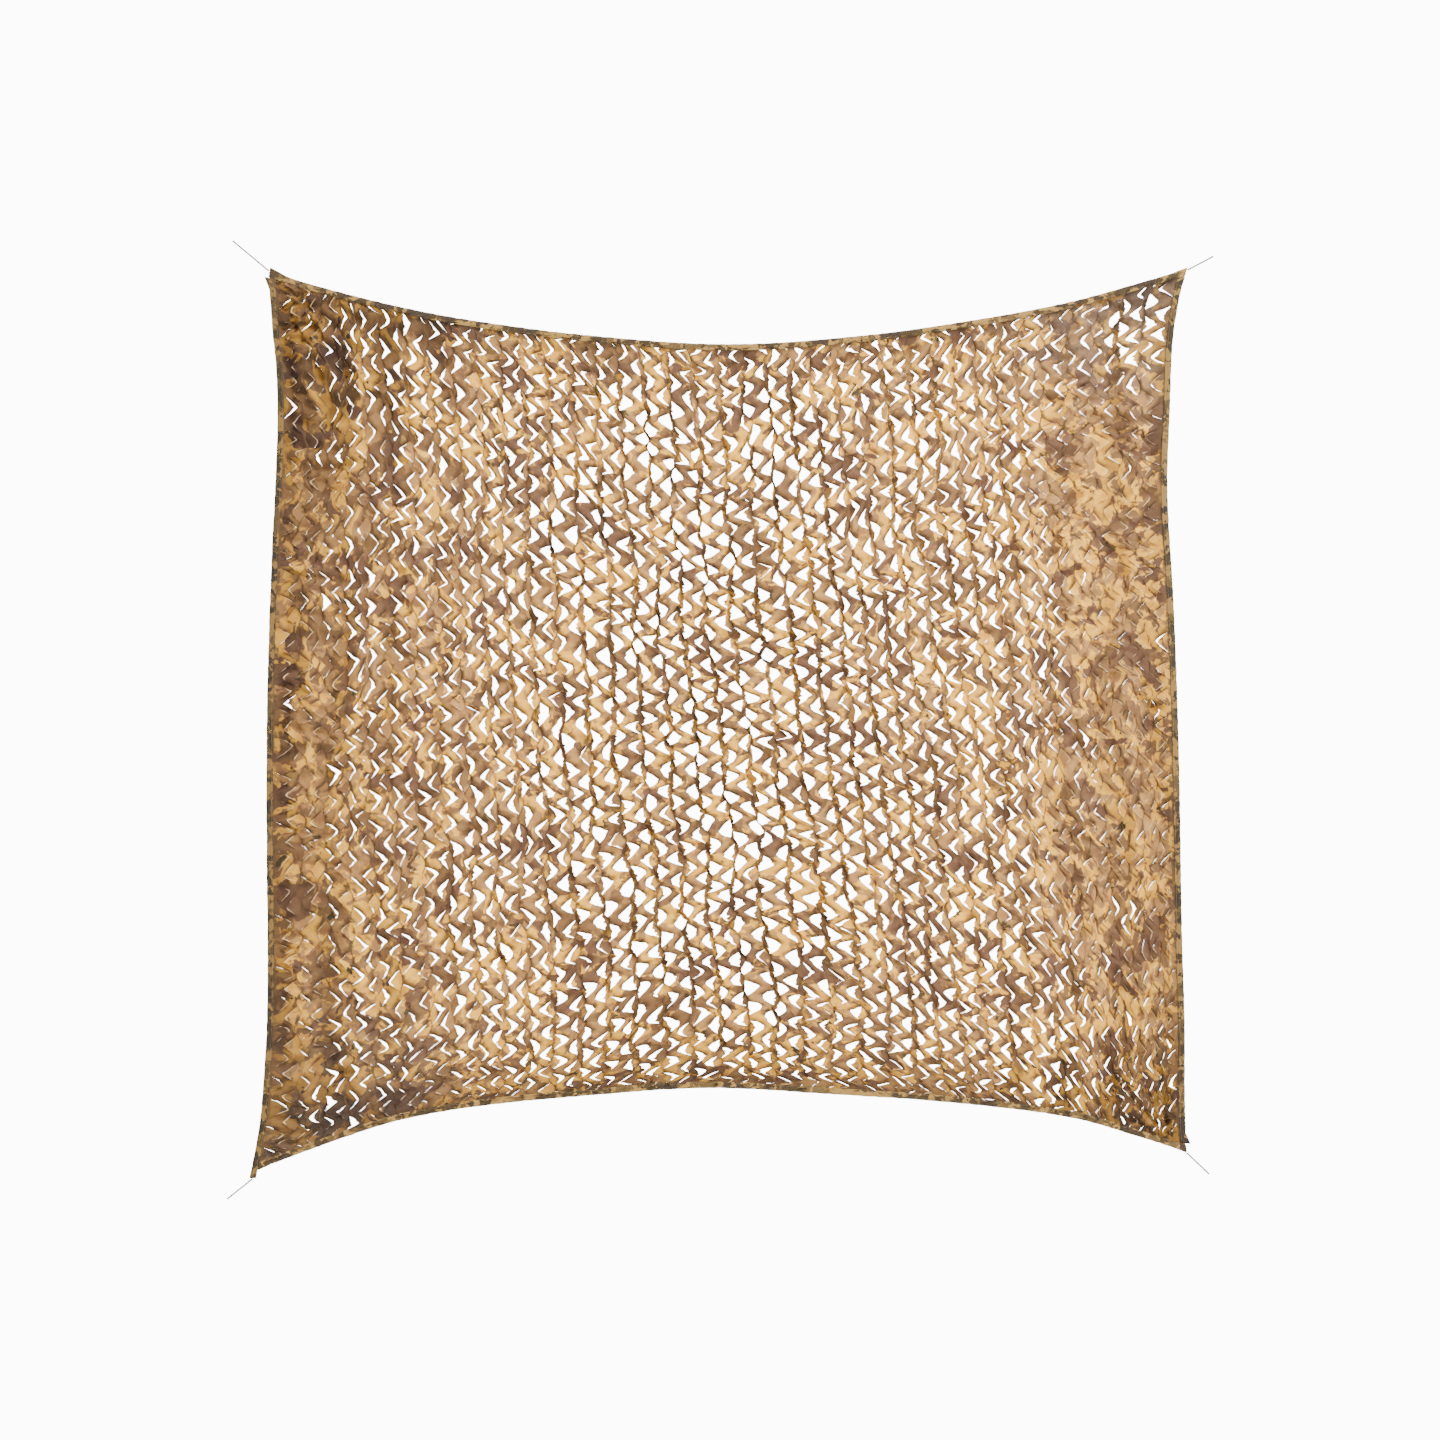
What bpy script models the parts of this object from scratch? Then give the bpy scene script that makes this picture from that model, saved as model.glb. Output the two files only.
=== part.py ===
"""Camouflage netting, about three metres square, pulled taut by a cord at each corner.

One cloth is slit in staggered rows and drawn open sideways, so that upright spines carry holes on
both sides, with zigzag ribbons between. A folded tape binds each edge, and a cord leaves each corner.

Units are metres. X runs across the net, Z runs up and Y is depth, with the face towards -Y. The origin
is the middle of the top edge.
"""

import math
import random

import bpy
from mathutils import Vector
from mathutils.geometry import delaunay_2d_cdt

# The outline, seen from the front: four corners as (x, z), and how far each edge is drawn in.
TOP_LEFT = Vector((-1.478, 0.236))
TOP_RIGHT = Vector((1.461, 0.240))
BOTTOM_LEFT = Vector((-1.534, -2.651))
BOTTOM_RIGHT = Vector((1.460, -2.586))

# Columns: share of the way from the edge's first corner to its second, and how far it is drawn in.
TOP_INSET = (
    (0.0, 0.0),
    (0.046, 0.044),
    (0.133, 0.109),
    (0.22, 0.158),
    (0.35, 0.208),
    (0.503, 0.238),
    (0.655, 0.210),
    (0.786, 0.155),
    (0.873, 0.105),
    (0.96, 0.034),
    (1.0, 0.0),
)
BOTTOM_INSET = (
    (0.0, 0.0),
    (0.063, 0.068),
    (0.149, 0.148),
    (0.234, 0.191),
    (0.36, 0.221),
    (0.49, 0.238),
    (0.62, 0.211),
    (0.75, 0.176),
    (0.875, 0.120),
    (0.96, 0.042),
    (1.0, 0.0),
)
LEFT_INSET = (
    (0.0, 0.0),
    (0.06, 0.015),
    (0.11, 0.031),
    (0.18, 0.037),
    (0.33, 0.028),
    (0.48, 0.025),
    (0.64, 0.031),
    (0.78, 0.040),
    (0.87, 0.038),
    (0.95, 0.024),
    (1.0, 0.0),
)
RIGHT_INSET = (
    (0.0, 0.0),
    (0.03, 0.021),
    (0.08, 0.043),
    (0.16, 0.051),
    (0.25, 0.059),
    (0.38, 0.041),
    (0.55, 0.025),
    (0.75, 0.012),
    (0.85, 0.003),
    (0.93, 0.004),
    (1.0, 0.0),
)

# Cloth and its gentle billow, whose waves stay flat near the corners
CLOTH_THICKNESS = 0.002
BILLOW_ACROSS = 0.012
BILLOW_DOWN = 0.010
FLAT_CORNER = 0.05
BILLOW_FADE = 0.12

# The cut: spines stand upright, and each carries a column of holes on either side.
SPINES = 9
HOLE_ROWS = 17
SPINE_PITCH = 0.0573
ROW_PITCH = 0.0563
LATTICE_MIDDLE = (0.503, 0.500)
SPINE_CROWDING = 0.00018
UNEVENNESS = 0.035
# Columns: how far out from the spine, how far down from the hole's middle, and depth. The first two are
# shares of the pitches.
HOLE_CORNERS = (
    (0.06, -0.36, 0.005),
    (0.33, -0.27, -0.007),
    (0.62, -0.08, 0.001),
    (0.62, 0.08, 0.001),
    (0.33, 0.27, -0.007),
    (0.06, 0.36, 0.005),
)

# The uncut cloth at both sides, which lies in soft upright folds. Margins are shares of the net.
SIDE_COLUMNS = 10
SIDE_ROWS = 19
SIDE_MARGIN = 0.018
END_MARGIN = 0.027
HOLE_CLEARANCE = 0.2
SIDE_FOLD_DEPTH = 0.011
SIDE_FOLDS = 17
SIDE_FOLD_WANDER = 0.9
SIDE_FOLD_FADE = (0.03, 0.08)

# Binding tape, folded over the cloth's edge
TAPE_WIDTH = 0.021
TAPE_THICKNESS = 0.0012
CLEARANCE = 0.0003
SEAM_GAP = 0.0005
BARE_MARGIN = 0.003
EDGE_STATIONS = 24
FIRST_STATION = 0.022

# Cords
CORD_DIAMETER = 0.0060
CORD_STEPS = 9
CORD_GAP = 0.0005
CORD_BEVEL_RESOLUTION = 2

# The corners. "through" is the edge whose tape runs past the corner; the other tape stops against it.
# Places are (x, z) from the corner: the ears are how far the tapes' ends stand out, with the through
# tape's inner end given its own, and the cord runs straight from its seat to its cut end.
CORNERS = {
    "top_left": {
        "through": "top",
        "through_ear": Vector((0.007, 0.010)),
        "inner_ear": Vector((0.0, 0.0)),
        "butt_ear": Vector((-0.014, 0.003)),
        "cord_seat": Vector((0.0020, -0.0018)),
        "cord_end": Vector((-0.114, 0.095)),
        "cord_bow": 0.004,
    },
    "top_right": {
        "through": "top",
        "through_ear": Vector((0.004, 0.006)),
        "inner_ear": Vector((0.0, 0.0)),
        "butt_ear": Vector((0.002, 0.0)),
        "cord_seat": Vector((0.003, -0.003)),
        "cord_end": Vector((0.085, 0.040)),
        "cord_bow": -0.003,
    },
    "bottom_left": {
        "through": "left",
        "through_ear": Vector((-0.0045, -0.0185)),
        "inner_ear": Vector((-0.006, -0.0268)),
        "butt_ear": Vector((0.0, -0.002)),
        "cord_seat": Vector((0.006, -0.0203)),
        "cord_end": Vector((-0.0756, -0.085)),
        "cord_bow": 0.003,
    },
    "bottom_right": {
        "through": "bottom",
        "through_ear": Vector((0.002, -0.002)),
        "inner_ear": Vector((0.0, 0.0)),
        "butt_ear": Vector((0.015, 0.004)),
        "cord_seat": Vector((0.0019, -0.0020)),
        "cord_end": Vector((0.072, -0.069)),
        "cord_bow": -0.003,
    },
}

CLOTH_COLOUR = (0.46, 0.30, 0.15, 1.0)
TAPE_COLOUR = (0.29, 0.22, 0.11, 1.0)
CORD_COLOUR = (0.66, 0.54, 0.42, 1.0)


# ---------------------------------------------------------------- the outline


def inset_at(table, share):
    """The table's smooth curve, a cubic through its rows."""
    row = 0
    while row < len(table) - 2 and share > table[row + 1][0]:
        row += 1
    (s0, d0), (s1, d1) = table[row], table[row + 1]
    before = table[row - 1] if row else (2 * s0 - s1, 2 * d0 - d1)
    after = table[row + 2] if row + 2 < len(table) else (2 * s1 - s0, 2 * d1 - d0)
    slope0 = (d1 - before[1]) / (s1 - before[0])
    slope1 = (after[1] - d0) / (after[0] - s0)
    span = s1 - s0
    t = (share - s0) / span
    return (
        (2 * t**3 - 3 * t**2 + 1) * d0
        + (t**3 - 2 * t**2 + t) * span * slope0
        + (3 * t**2 - 2 * t**3) * d1
        + (t**3 - t**2) * span * slope1
    )


def top_edge(u):
    return TOP_LEFT.lerp(TOP_RIGHT, u) - Vector((0, inset_at(TOP_INSET, u)))


def bottom_edge(u):
    return BOTTOM_LEFT.lerp(BOTTOM_RIGHT, u) + Vector((0, inset_at(BOTTOM_INSET, u)))


def left_edge(v):
    return TOP_LEFT.lerp(BOTTOM_LEFT, v) + Vector((inset_at(LEFT_INSET, v), 0))


def right_edge(v):
    return TOP_RIGHT.lerp(BOTTOM_RIGHT, v) - Vector((inset_at(RIGHT_INSET, v), 0))


# Edge: its curve, the corners that it runs between, which way is inwards, and (u, v) at a share of it.
EDGES = {
    "top": (top_edge, ("top_left", "top_right"), 1, lambda s: (s, 0.0)),
    "bottom": (bottom_edge, ("bottom_left", "bottom_right"), -1, lambda s: (s, 1.0)),
    "left": (left_edge, ("top_left", "bottom_left"), -1, lambda s: (0.0, s)),
    "right": (right_edge, ("top_right", "bottom_right"), 1, lambda s: (1.0, s)),
}


def point_in_net(u, v):
    """The place of a share across, u, and a share down, v, with all four edges followed."""
    between_sides = left_edge(v).lerp(right_edge(v), u)
    between_ends = top_edge(u).lerp(bottom_edge(u), v)
    between_corners = TOP_LEFT.lerp(TOP_RIGHT, u).lerp(BOTTOM_LEFT.lerp(BOTTOM_RIGHT, u), v)
    return between_sides + between_ends - between_corners


def smooth_step(value):
    t = min(max(value, 0.0), 1.0)
    return t * t * (3 - 2 * t)


def billow(u, v):
    """How far the cloth stands back at (u, v): long shallow waves that die out at the corners."""
    from_corner = min(u, 1 - u) + min(v, 1 - v)
    fade = smooth_step((from_corner - FLAT_CORNER) / BILLOW_FADE)
    across = BILLOW_ACROSS * math.sin(2 * math.pi * u) * math.cos(2 * math.pi * v + 0.6)
    down = BILLOW_DOWN * math.sin(3 * math.pi * v) * math.cos(2 * math.pi * u + 0.4)
    return fade * (across + down)


def edge_frame(edge, share):
    """The point on an edge, the way along it and the way into the net."""
    curve, _, turn, _ = EDGES[edge]
    step = 0.002
    along = (curve(min(share + step, 1)) - curve(max(share - step, 0))).normalized()
    return curve(share), along, Vector((along.y, -along.x)) * turn


def station_shares():
    last = 1 - FIRST_STATION
    return [
        FIRST_STATION + (last - FIRST_STATION) * i / (EDGE_STATIONS - 1)
        for i in range(EDGE_STATIONS)
    ]


def corner_frames(name):
    """The corner, and for each edge that meets there its way away from the corner and into the net."""
    ways = {}
    for edge, (_, ends, _, _) in EDGES.items():
        if name in ends:
            at_start = name == ends[0]
            point, along, inward = edge_frame(edge, 0.0 if at_start else 1.0)
            ways[edge] = (along if at_start else -along, inward)
    return point, ways


def mitre(name, depth):
    """The point that lies the same depth inside both edges of a corner."""
    point, ways = corner_frames(name)
    first, second = (inward for _, inward in ways.values())
    return point + (first + second) * depth / (1 + first.dot(second))


# ---------------------------------------------------------------- making objects


def clear_scene():
    for obj in list(bpy.data.objects):
        bpy.data.objects.remove(obj, do_unlink=True)


def make_material(name, colour, roughness):
    material = bpy.data.materials.new(name)
    material.use_nodes = True
    shader = material.node_tree.nodes["Principled BSDF"]
    shader.inputs["Base Color"].default_value = colour
    shader.inputs["Roughness"].default_value = roughness
    shader.inputs["Metallic"].default_value = 0.0
    return material


def make_object(name, data, material):
    data.materials.append(material)
    obj = bpy.data.objects.new(name, data)
    bpy.context.scene.collection.objects.link(obj)
    return obj


# ---------------------------------------------------------------- the net


class ClothPlan:
    """The cloth laid out flat: points with their depth, lines that it has to keep, and the holes."""

    def __init__(self):
        self.points = []
        self.depths = []
        self.lines = []
        self.outline = []
        self.holes = []

    def add_point(self, place, depth):
        self.points.append(Vector(place))
        self.depths.append(depth)
        return len(self.points) - 1

    def add_ring(self, places_and_depths):
        return [self.add_point(place, depth) for place, depth in places_and_depths]


def ring_inside_edges(depth):
    """The outline drawn in by depth, anticlockwise from the top left corner, as places and depths."""
    ring = []
    for edge, backwards in (("left", False), ("bottom", False), ("right", True), ("top", True)):
        shares = station_shares()
        ends = EDGES[edge][1]
        if backwards:
            shares.reverse()
            ends = ends[::-1]
        ring.append((mitre(ends[0], depth), 0.0))
        for share in shares:
            point, _, inward = edge_frame(edge, share)
            ring.append((point + inward * depth, billow(*EDGES[edge][3](share))))
    return ring


def lattice_to_share(across, down):
    """From spines and rows, counted from the middle, to shares of the net."""
    u = LATTICE_MIDDLE[0] + SPINE_PITCH * across - SPINE_CROWDING * across**3
    v = LATTICE_MIDDLE[1] + ROW_PITCH * down
    return u, v


def cut_holes(plan, rng):
    """Cuts a column of holes to the right of each spine, and one to its left half a row lower."""
    for spine in range(SPINES):
        for side, rows in ((1, HOLE_ROWS), (-1, HOLE_ROWS - 1)):
            for row in range(rows):
                across = spine - (SPINES - 1) / 2
                down = row - (rows - 1) / 2
                ring = []
                for out, below, depth in HOLE_CORNERS:
                    jitter = rng.uniform(-UNEVENNESS, UNEVENNESS)
                    lift = rng.uniform(-UNEVENNESS, UNEVENNESS)
                    u, v = lattice_to_share(
                        across + side * (out + jitter / 2), down + below + lift
                    )
                    ring.append((point_in_net(u, v), billow(u, v) + depth * side))
                plan.holes.append(plan.add_ring(ring[::-side]))


def side_fold(u, v, from_edge):
    """Depth of the gathered cloth at the sides: upright folds that wander and come and go."""
    wander = SIDE_FOLD_WANDER * math.sin(2 * math.pi * (1.7 * v + u))
    folds = math.sin(2 * math.pi * SIDE_FOLDS * from_edge + wander)
    swell = 0.65 + 0.35 * math.sin(2 * math.pi * (2.6 * v + 0.8 * u))
    fade_from, fade_over = SIDE_FOLD_FADE
    fade = smooth_step((min(v, 1 - v) + from_edge - fade_from) / fade_over)
    return SIDE_FOLD_DEPTH * swell * folds * fade


def fold_sides(plan, rng):
    """Adds the points of the uncut cloth between the side bindings and the first holes."""
    last_hole = (SPINES - 1) / 2 + HOLE_CORNERS[2][0] + HOLE_CLEARANCE
    width = 1 - lattice_to_share(last_hole, 0)[0] - SIDE_MARGIN
    for mirrored in (False, True):
        for row in range(SIDE_ROWS):
            v = END_MARGIN + (1 - 2 * END_MARGIN) * row / (SIDE_ROWS - 1)
            for column in range(SIDE_COLUMNS):
                shift = 0.5 * (row % 2) + rng.uniform(-0.15, 0.15)
                from_edge = SIDE_MARGIN + width * (column + shift) / SIDE_COLUMNS
                u = 1 - from_edge if mirrored else from_edge
                depth = billow(u, v) + side_fold(u, v, from_edge)
                plan.add_point(point_in_net(u, v), depth)


def make_net(material):
    """One cloth with its cut holes, given its thickness by a Solidify modifier."""
    rng = random.Random(7)
    plan = ClothPlan()
    plan.outline = plan.add_ring(ring_inside_edges(TAPE_THICKNESS + CLEARANCE))
    under_tape = plan.add_ring(ring_inside_edges(TAPE_WIDTH + BARE_MARGIN))
    plan.lines = [(under_tape[i - 1], under_tape[i]) for i in range(len(under_tape))]
    cut_holes(plan, rng)
    fold_sides(plan, rng)

    faces_in = [plan.outline] + plan.holes
    inside_only = 1
    points, _, faces, sources, _, face_sources = delaunay_2d_cdt(
        plan.points, plan.lines, faces_in, inside_only, 1e-6
    )
    vertices = []
    for point, source in zip(points, sources):
        vertices.append((point.x, plan.depths[source[0]], point.y))
    cloth = [face for face, source in zip(faces, face_sources) if max(source) == 0]

    mesh = bpy.data.meshes.new("net")
    mesh.from_pydata(vertices, [], cloth)
    mesh.shade_smooth()
    net = make_object("net", mesh, material)
    thickness = net.modifiers.new("Thickness", "SOLIDIFY")
    thickness.thickness = CLOTH_THICKNESS
    thickness.offset = 0.0
    return net


# ---------------------------------------------------------------- binding tape


def tape_profile():
    """The folded tape's section: how far in from its outer fold, and depth."""
    inner_half = CLOTH_THICKNESS / 2 + CLEARANCE
    outer_half = inner_half + TAPE_THICKNESS
    return (
        (0.0, -0.5 * outer_half),
        (0.5 * TAPE_THICKNESS, -outer_half),
        (TAPE_WIDTH, -outer_half),
        (TAPE_WIDTH, -inner_half),
        (TAPE_THICKNESS, -inner_half),
        (TAPE_THICKNESS, inner_half),
        (TAPE_WIDTH, inner_half),
        (TAPE_WIDTH, outer_half),
        (0.5 * TAPE_THICKNESS, outer_half),
        (0.0, 0.5 * outer_half),
    )


def tape_end(edge, corner):
    """The outer and inner points of a tape's end at a corner."""
    facts = CORNERS[corner]
    point, ways = corner_frames(corner)
    other = next(name for name in ways if name != edge)
    through = facts["through"]
    along_butt = ways[other if through == edge else edge][0]
    across_angle = math.sqrt(1 - ways[edge][0].dot(ways[other][0]) ** 2)
    seam_outer = point + along_butt * TAPE_WIDTH / across_angle
    if through == edge:
        return point + facts["through_ear"], seam_outer + facts["inner_ear"]
    away = along_butt * SEAM_GAP / across_angle
    seam_inner = mitre(corner, TAPE_WIDTH)
    return seam_outer + away + facts["butt_ear"], seam_inner + away


def make_binding(edge, material):
    """A tape folded over one edge of the net, from corner to corner."""
    _, ends, _, share_to_uv = EDGES[edge]
    sections = [(*tape_end(edge, ends[0]), 0.0)]
    for share in station_shares():
        point, _, inward = edge_frame(edge, share)
        depth = billow(*share_to_uv(share))
        sections.append((point, point + inward * TAPE_WIDTH, depth))
    sections.append((*tape_end(edge, ends[1]), 0.0))

    profile = tape_profile()
    vertices = []
    for outer, inner, depth in sections:
        for inwards, across in profile:
            place = outer.lerp(inner, inwards / TAPE_WIDTH)
            vertices.append((place.x, depth + across, place.y))
    count = len(profile)
    faces = [list(range(count)), [len(vertices) - 1 - i for i in range(count)]]
    for section in range(len(sections) - 1):
        for i in range(count):
            j = (i + 1) % count
            here, there = section * count, (section + 1) * count
            faces.append((here + j, here + i, there + i, there + j))
    if EDGES[edge][2] > 0:
        faces = [face[::-1] for face in faces]
    mesh = bpy.data.meshes.new(f"binding_{edge}")
    mesh.from_pydata(vertices, [], faces)
    return make_object(f"binding_{edge}", mesh, material)


# ---------------------------------------------------------------- cords


def make_cord(corner, material):
    """A taut cord with a flat cut end, from the net's corner outwards."""
    facts = CORNERS[corner]
    point, _ = corner_frames(corner)
    start, end = point + facts["cord_seat"], point + facts["cord_end"]
    way = (end - start).normalized()
    start += way * CORD_GAP
    curve = bpy.data.curves.new(f"cord_{corner}", "CURVE")
    curve.dimensions = "3D"
    curve.bevel_depth = CORD_DIAMETER / 2
    curve.bevel_resolution = CORD_BEVEL_RESOLUTION
    curve.use_fill_caps = True
    spline = curve.splines.new("POLY")
    spline.points.add(CORD_STEPS - 1)
    for i in range(CORD_STEPS):
        t = i / (CORD_STEPS - 1)
        place = start.lerp(end, t)
        bow = facts["cord_bow"] * t * t
        spline.points[i].co = (place.x, bow, place.y, 1.0)
    return make_object(f"cord_{corner}", curve, material)


def main():
    clear_scene()
    make_net(make_material("net_cloth", CLOTH_COLOUR, 0.9))
    tape = make_material("binding_tape", TAPE_COLOUR, 0.85)
    for edge in EDGES:
        make_binding(edge, tape)
    cord = make_material("cord", CORD_COLOUR, 0.8)
    for corner in CORNERS:
        make_cord(corner, cord)


main()
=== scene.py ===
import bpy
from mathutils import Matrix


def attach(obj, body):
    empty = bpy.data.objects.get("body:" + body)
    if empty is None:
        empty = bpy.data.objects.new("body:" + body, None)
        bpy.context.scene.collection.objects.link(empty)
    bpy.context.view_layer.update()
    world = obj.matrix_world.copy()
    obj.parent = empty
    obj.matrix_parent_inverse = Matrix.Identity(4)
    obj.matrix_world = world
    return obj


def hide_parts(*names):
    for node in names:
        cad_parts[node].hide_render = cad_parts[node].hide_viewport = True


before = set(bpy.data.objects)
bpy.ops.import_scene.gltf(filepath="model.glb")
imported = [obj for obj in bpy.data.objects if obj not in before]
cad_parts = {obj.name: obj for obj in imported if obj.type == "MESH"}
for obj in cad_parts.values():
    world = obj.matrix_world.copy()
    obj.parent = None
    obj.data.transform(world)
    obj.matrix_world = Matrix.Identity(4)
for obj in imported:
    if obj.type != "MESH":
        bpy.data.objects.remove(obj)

"""Camouflage netting, drawn taut by a cord at each corner: its slit cloth, cut leaves, tape and cords.

Units are metres, in the part's own frame: X across the net, Z up, Y depth with the face towards -Y.
"""

import math
from collections import namedtuple

import bpy
import numpy as np

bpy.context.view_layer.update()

# ---------------- sizes shared with the solids

TOP_LEFT = np.array((-1.478, 0.236))
TOP_RIGHT = np.array((1.461, 0.240))
BOTTOM_LEFT = np.array((-1.534, -2.651))
BOTTOM_RIGHT = np.array((1.460, -2.586))

# Columns: share of the way along the edge, and how far the edge is drawn in there.
TOP_INSET = (
    (0.0, 0.0), (0.046, 0.044), (0.133, 0.109), (0.22, 0.158), (0.35, 0.208), (0.503, 0.238),
    (0.655, 0.210), (0.786, 0.155), (0.873, 0.105), (0.96, 0.034), (1.0, 0.0),
)
BOTTOM_INSET = (
    (0.0, 0.0), (0.063, 0.068), (0.149, 0.148), (0.234, 0.191), (0.36, 0.221), (0.49, 0.238),
    (0.62, 0.211), (0.75, 0.176), (0.875, 0.120), (0.96, 0.042), (1.0, 0.0),
)
LEFT_INSET = (
    (0.0, 0.0), (0.06, 0.015), (0.11, 0.031), (0.18, 0.037), (0.33, 0.028), (0.48, 0.025),
    (0.64, 0.031), (0.78, 0.040), (0.87, 0.038), (0.95, 0.024), (1.0, 0.0),
)
RIGHT_INSET = (
    (0.0, 0.0), (0.03, 0.021), (0.08, 0.043), (0.16, 0.051), (0.25, 0.059), (0.38, 0.041),
    (0.55, 0.025), (0.75, 0.012), (0.85, 0.003), (0.93, 0.004), (1.0, 0.0),
)

BILLOW_ACROSS = 0.012
BILLOW_DOWN = 0.010
FLAT_CORNER = 0.05
BILLOW_FADE = 0.12
SIDE_FOLD_DEPTH = 0.011
SIDE_FOLDS = 17
SIDE_FOLD_WANDER = 0.9
SIDE_FOLD_FADE = (0.03, 0.08)
SIDE_FOLD_END = (0.17, 0.25)
SIDE_FOLD_SHARE = 0.8

TAPE_WIDTH = 0.021
TAPE_HALF_THICKNESS = 0.0025
SEAM_GAP = 0.0005
FIRST_STATION = 0.022

CORD_DIAMETER = 0.0060
CORD_GAP = 0.0005

# "through" is the edge whose tape runs past the corner. The rest but the last are (x, z) from the corner:
# how far that tape's end is drawn out at its outer and inner point, and the other tape's at its outer one,
# where the cord starts and where it ends. The last is how far the cord bows out in depth.
Corner = namedtuple("Corner", "through through_ear inner_ear butt_ear cord_seat cord_end cord_bow")
CORNERS = {
    "top_left": Corner(
        "top", (0.007, 0.010), (0.0, 0.0), (-0.014, 0.003), (0.0020, -0.0018), (-0.114, 0.095), 0.004
    ),
    "top_right": Corner(
        "top", (0.004, 0.006), (0.0, 0.0), (0.002, 0.0), (0.003, -0.003), (0.085, 0.040), -0.003
    ),
    "bottom_left": Corner(
        "left", (-0.0045, -0.0185), (-0.006, -0.0268), (0.0, -0.002), (0.006, -0.0203), (-0.0756, -0.085),
        0.003,
    ),
    "bottom_right": Corner(
        "bottom", (0.002, -0.002), (0.0, 0.0), (0.015, 0.004), (0.0019, -0.0020), (0.072, -0.069), -0.003
    ),
}

# ---------------- the cut

SPINES = 38
ROWS = 38
# Columns: spine counted from the left, and its share of the way across.
SPINE_SHARES = (
    (0.0, 0.0085), (2.77, 0.080), (5.76, 0.157), (8.66, 0.234), (11.49, 0.311), (15.01, 0.410),
    (18.43, 0.509), (21.09, 0.586), (23.43, 0.652), (28.06, 0.7725), (31.21, 0.849), (38.0, 0.9915),
)
# Columns: spine, and how far it leans to the right from top to bottom, as a share of the width.
SPINE_LEAN = (
    (0.0, 0.0), (4.0, 0.028), (10.0, 0.045), (18.0, 0.070), (24.0, 0.092), (30.0, 0.098), (34.0, 0.070),
    (38.0, 0.0),
)
# How tall a row stands, in millimetres, at these spines and these shares of the way down.
ROW_SPINES = (5.0, 8.0, 11.5, 14.6, 18.4, 22.3, 25.6, 29.0, 31.7)
ROW_HEIGHTS = (
    (0.08, (90, 83, 74, 76, 77, 80, 82, 78, 78)),
    (0.16, (92, 88, 77, 71, 73, 79, 80, 78, 78)),
    (0.26, (90, 86, 82, 71, 66, 71, 77, 80, 82)),
    (0.50, (90, 84, 82, 73, 65, 68, 74, 82, 90)),
    (0.76, (92, 86, 83, 71, 67, 73, 80, 84, 90)),
    (0.86, (86, 80, 80, 73, 65, 65, 74, 83, 88)),
    (0.92, (82, 77, 70, 66, 64, 63, 68, 74, 82)),
    (0.96, (74, 68, 60, 55, 53, 52, 55, 64, 74)),
    (1.0, (62, 56, 48, 44, 42, 41, 44, 52, 62)),
)
# Columns: share of the way across, and how wide a slit stands open there, as a share of the spine
# pitch; below 0 the leaf laps over its slit.
SLIT_OPENING = (
    (0.0, -0.07), (0.050, -0.07), (0.072, 0.015), (0.115, 0.115), (0.17, 0.095), (0.216, 0.18),
    (0.284, 0.235), (0.339, 0.29), (0.41, 0.345), (0.511, 0.37), (0.583, 0.33), (0.667, 0.265),
    (0.758, 0.225), (0.815, 0.185), (0.850, 0.12), (0.875, 0.03), (0.91, -0.05), (1.0, -0.07),
)
# Opening added round a place: how much, its shares across and down, and how wide and tall the patch is.
CORNER_OPENING = (
    (0.38, 0.955, 0.05, 0.050, 0.065), (0.30, 0.075, 0.945, 0.022, 0.022), (0.11, 0.14, 0.05, 0.09, 0.07),
    (-0.05, 0.16, 0.97, 0.10, 0.06), (0.14, 0.88, 0.93, 0.10, 0.06), (0.04, 0.85, 0.05, 0.08, 0.05),
)
# Columns: share of the way down, and how much of that opening is left there.
OPENING_DOWN = (
    (0.0, 0.3), (0.035, 0.6), (0.10, 1.0), (0.86, 1.0), (0.94, 0.75), (0.977, 0.5), (0.988, 0.0),
)
# How unevenly the slits are cut and stand open, as shares of the spine pitch, and what share of all is
# short of the oddly open and the oddly shut ones.
REACH_STRAY = (-0.07, 0.06)
OPENING_STRAY = 0.28
ODDLY_OPEN_ABOVE = 0.965
ODDLY_SHUT_ABOVE = 0.95
WIDEST_LAP = 0.09
LEAST_LEAF = 0.055
# Size, seed and reach, in spines or rows, of the cloth's unevenness: where its columns of open slits lie
# and how open they are, how a spine wavers, how a ribbon twists, how far spines and rows lie aside, and how
# deep it crumples.
COLUMNS_STRAY = ((0.022, 4, 5.0),)
OPENING_WAVERS = ((0.24, 3, 4.0),)
SPINE_WAVERS = ((0.085, 41, 0.8),)
RIBBON_TWIST = ((0.004, 51, 2.2),)
SPINES_STRAY = ((0.14, 21, 5.0), (0.045, 23, 1.8))
ROWS_STRAY = ((0.16, 22, 5.0), (0.055, 24, 1.7))
SLACK_CRUMPLES = ((0.0075, 31, 1.7), (0.0045, 33, 0.8))
CRUMPLES = ((0.0015, 32, 0.8),)
# Shares of the net's size.
CLOTH_MARGIN = 0.0065
MARGIN_FADE = 0.012
UNDER_TAPE = 0.0008
# How much flat cloth the margin takes, in metres, and the area below which a face is left out.
MARGIN_FLAT = 0.02
SMALLEST_FACE = 4e-8
SPINE_HALF = 0.023
SPINE_SWAY = 0.115
LEAF_REACH = 0.595
HOLE_HALF_HEIGHT = 0.34
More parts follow.
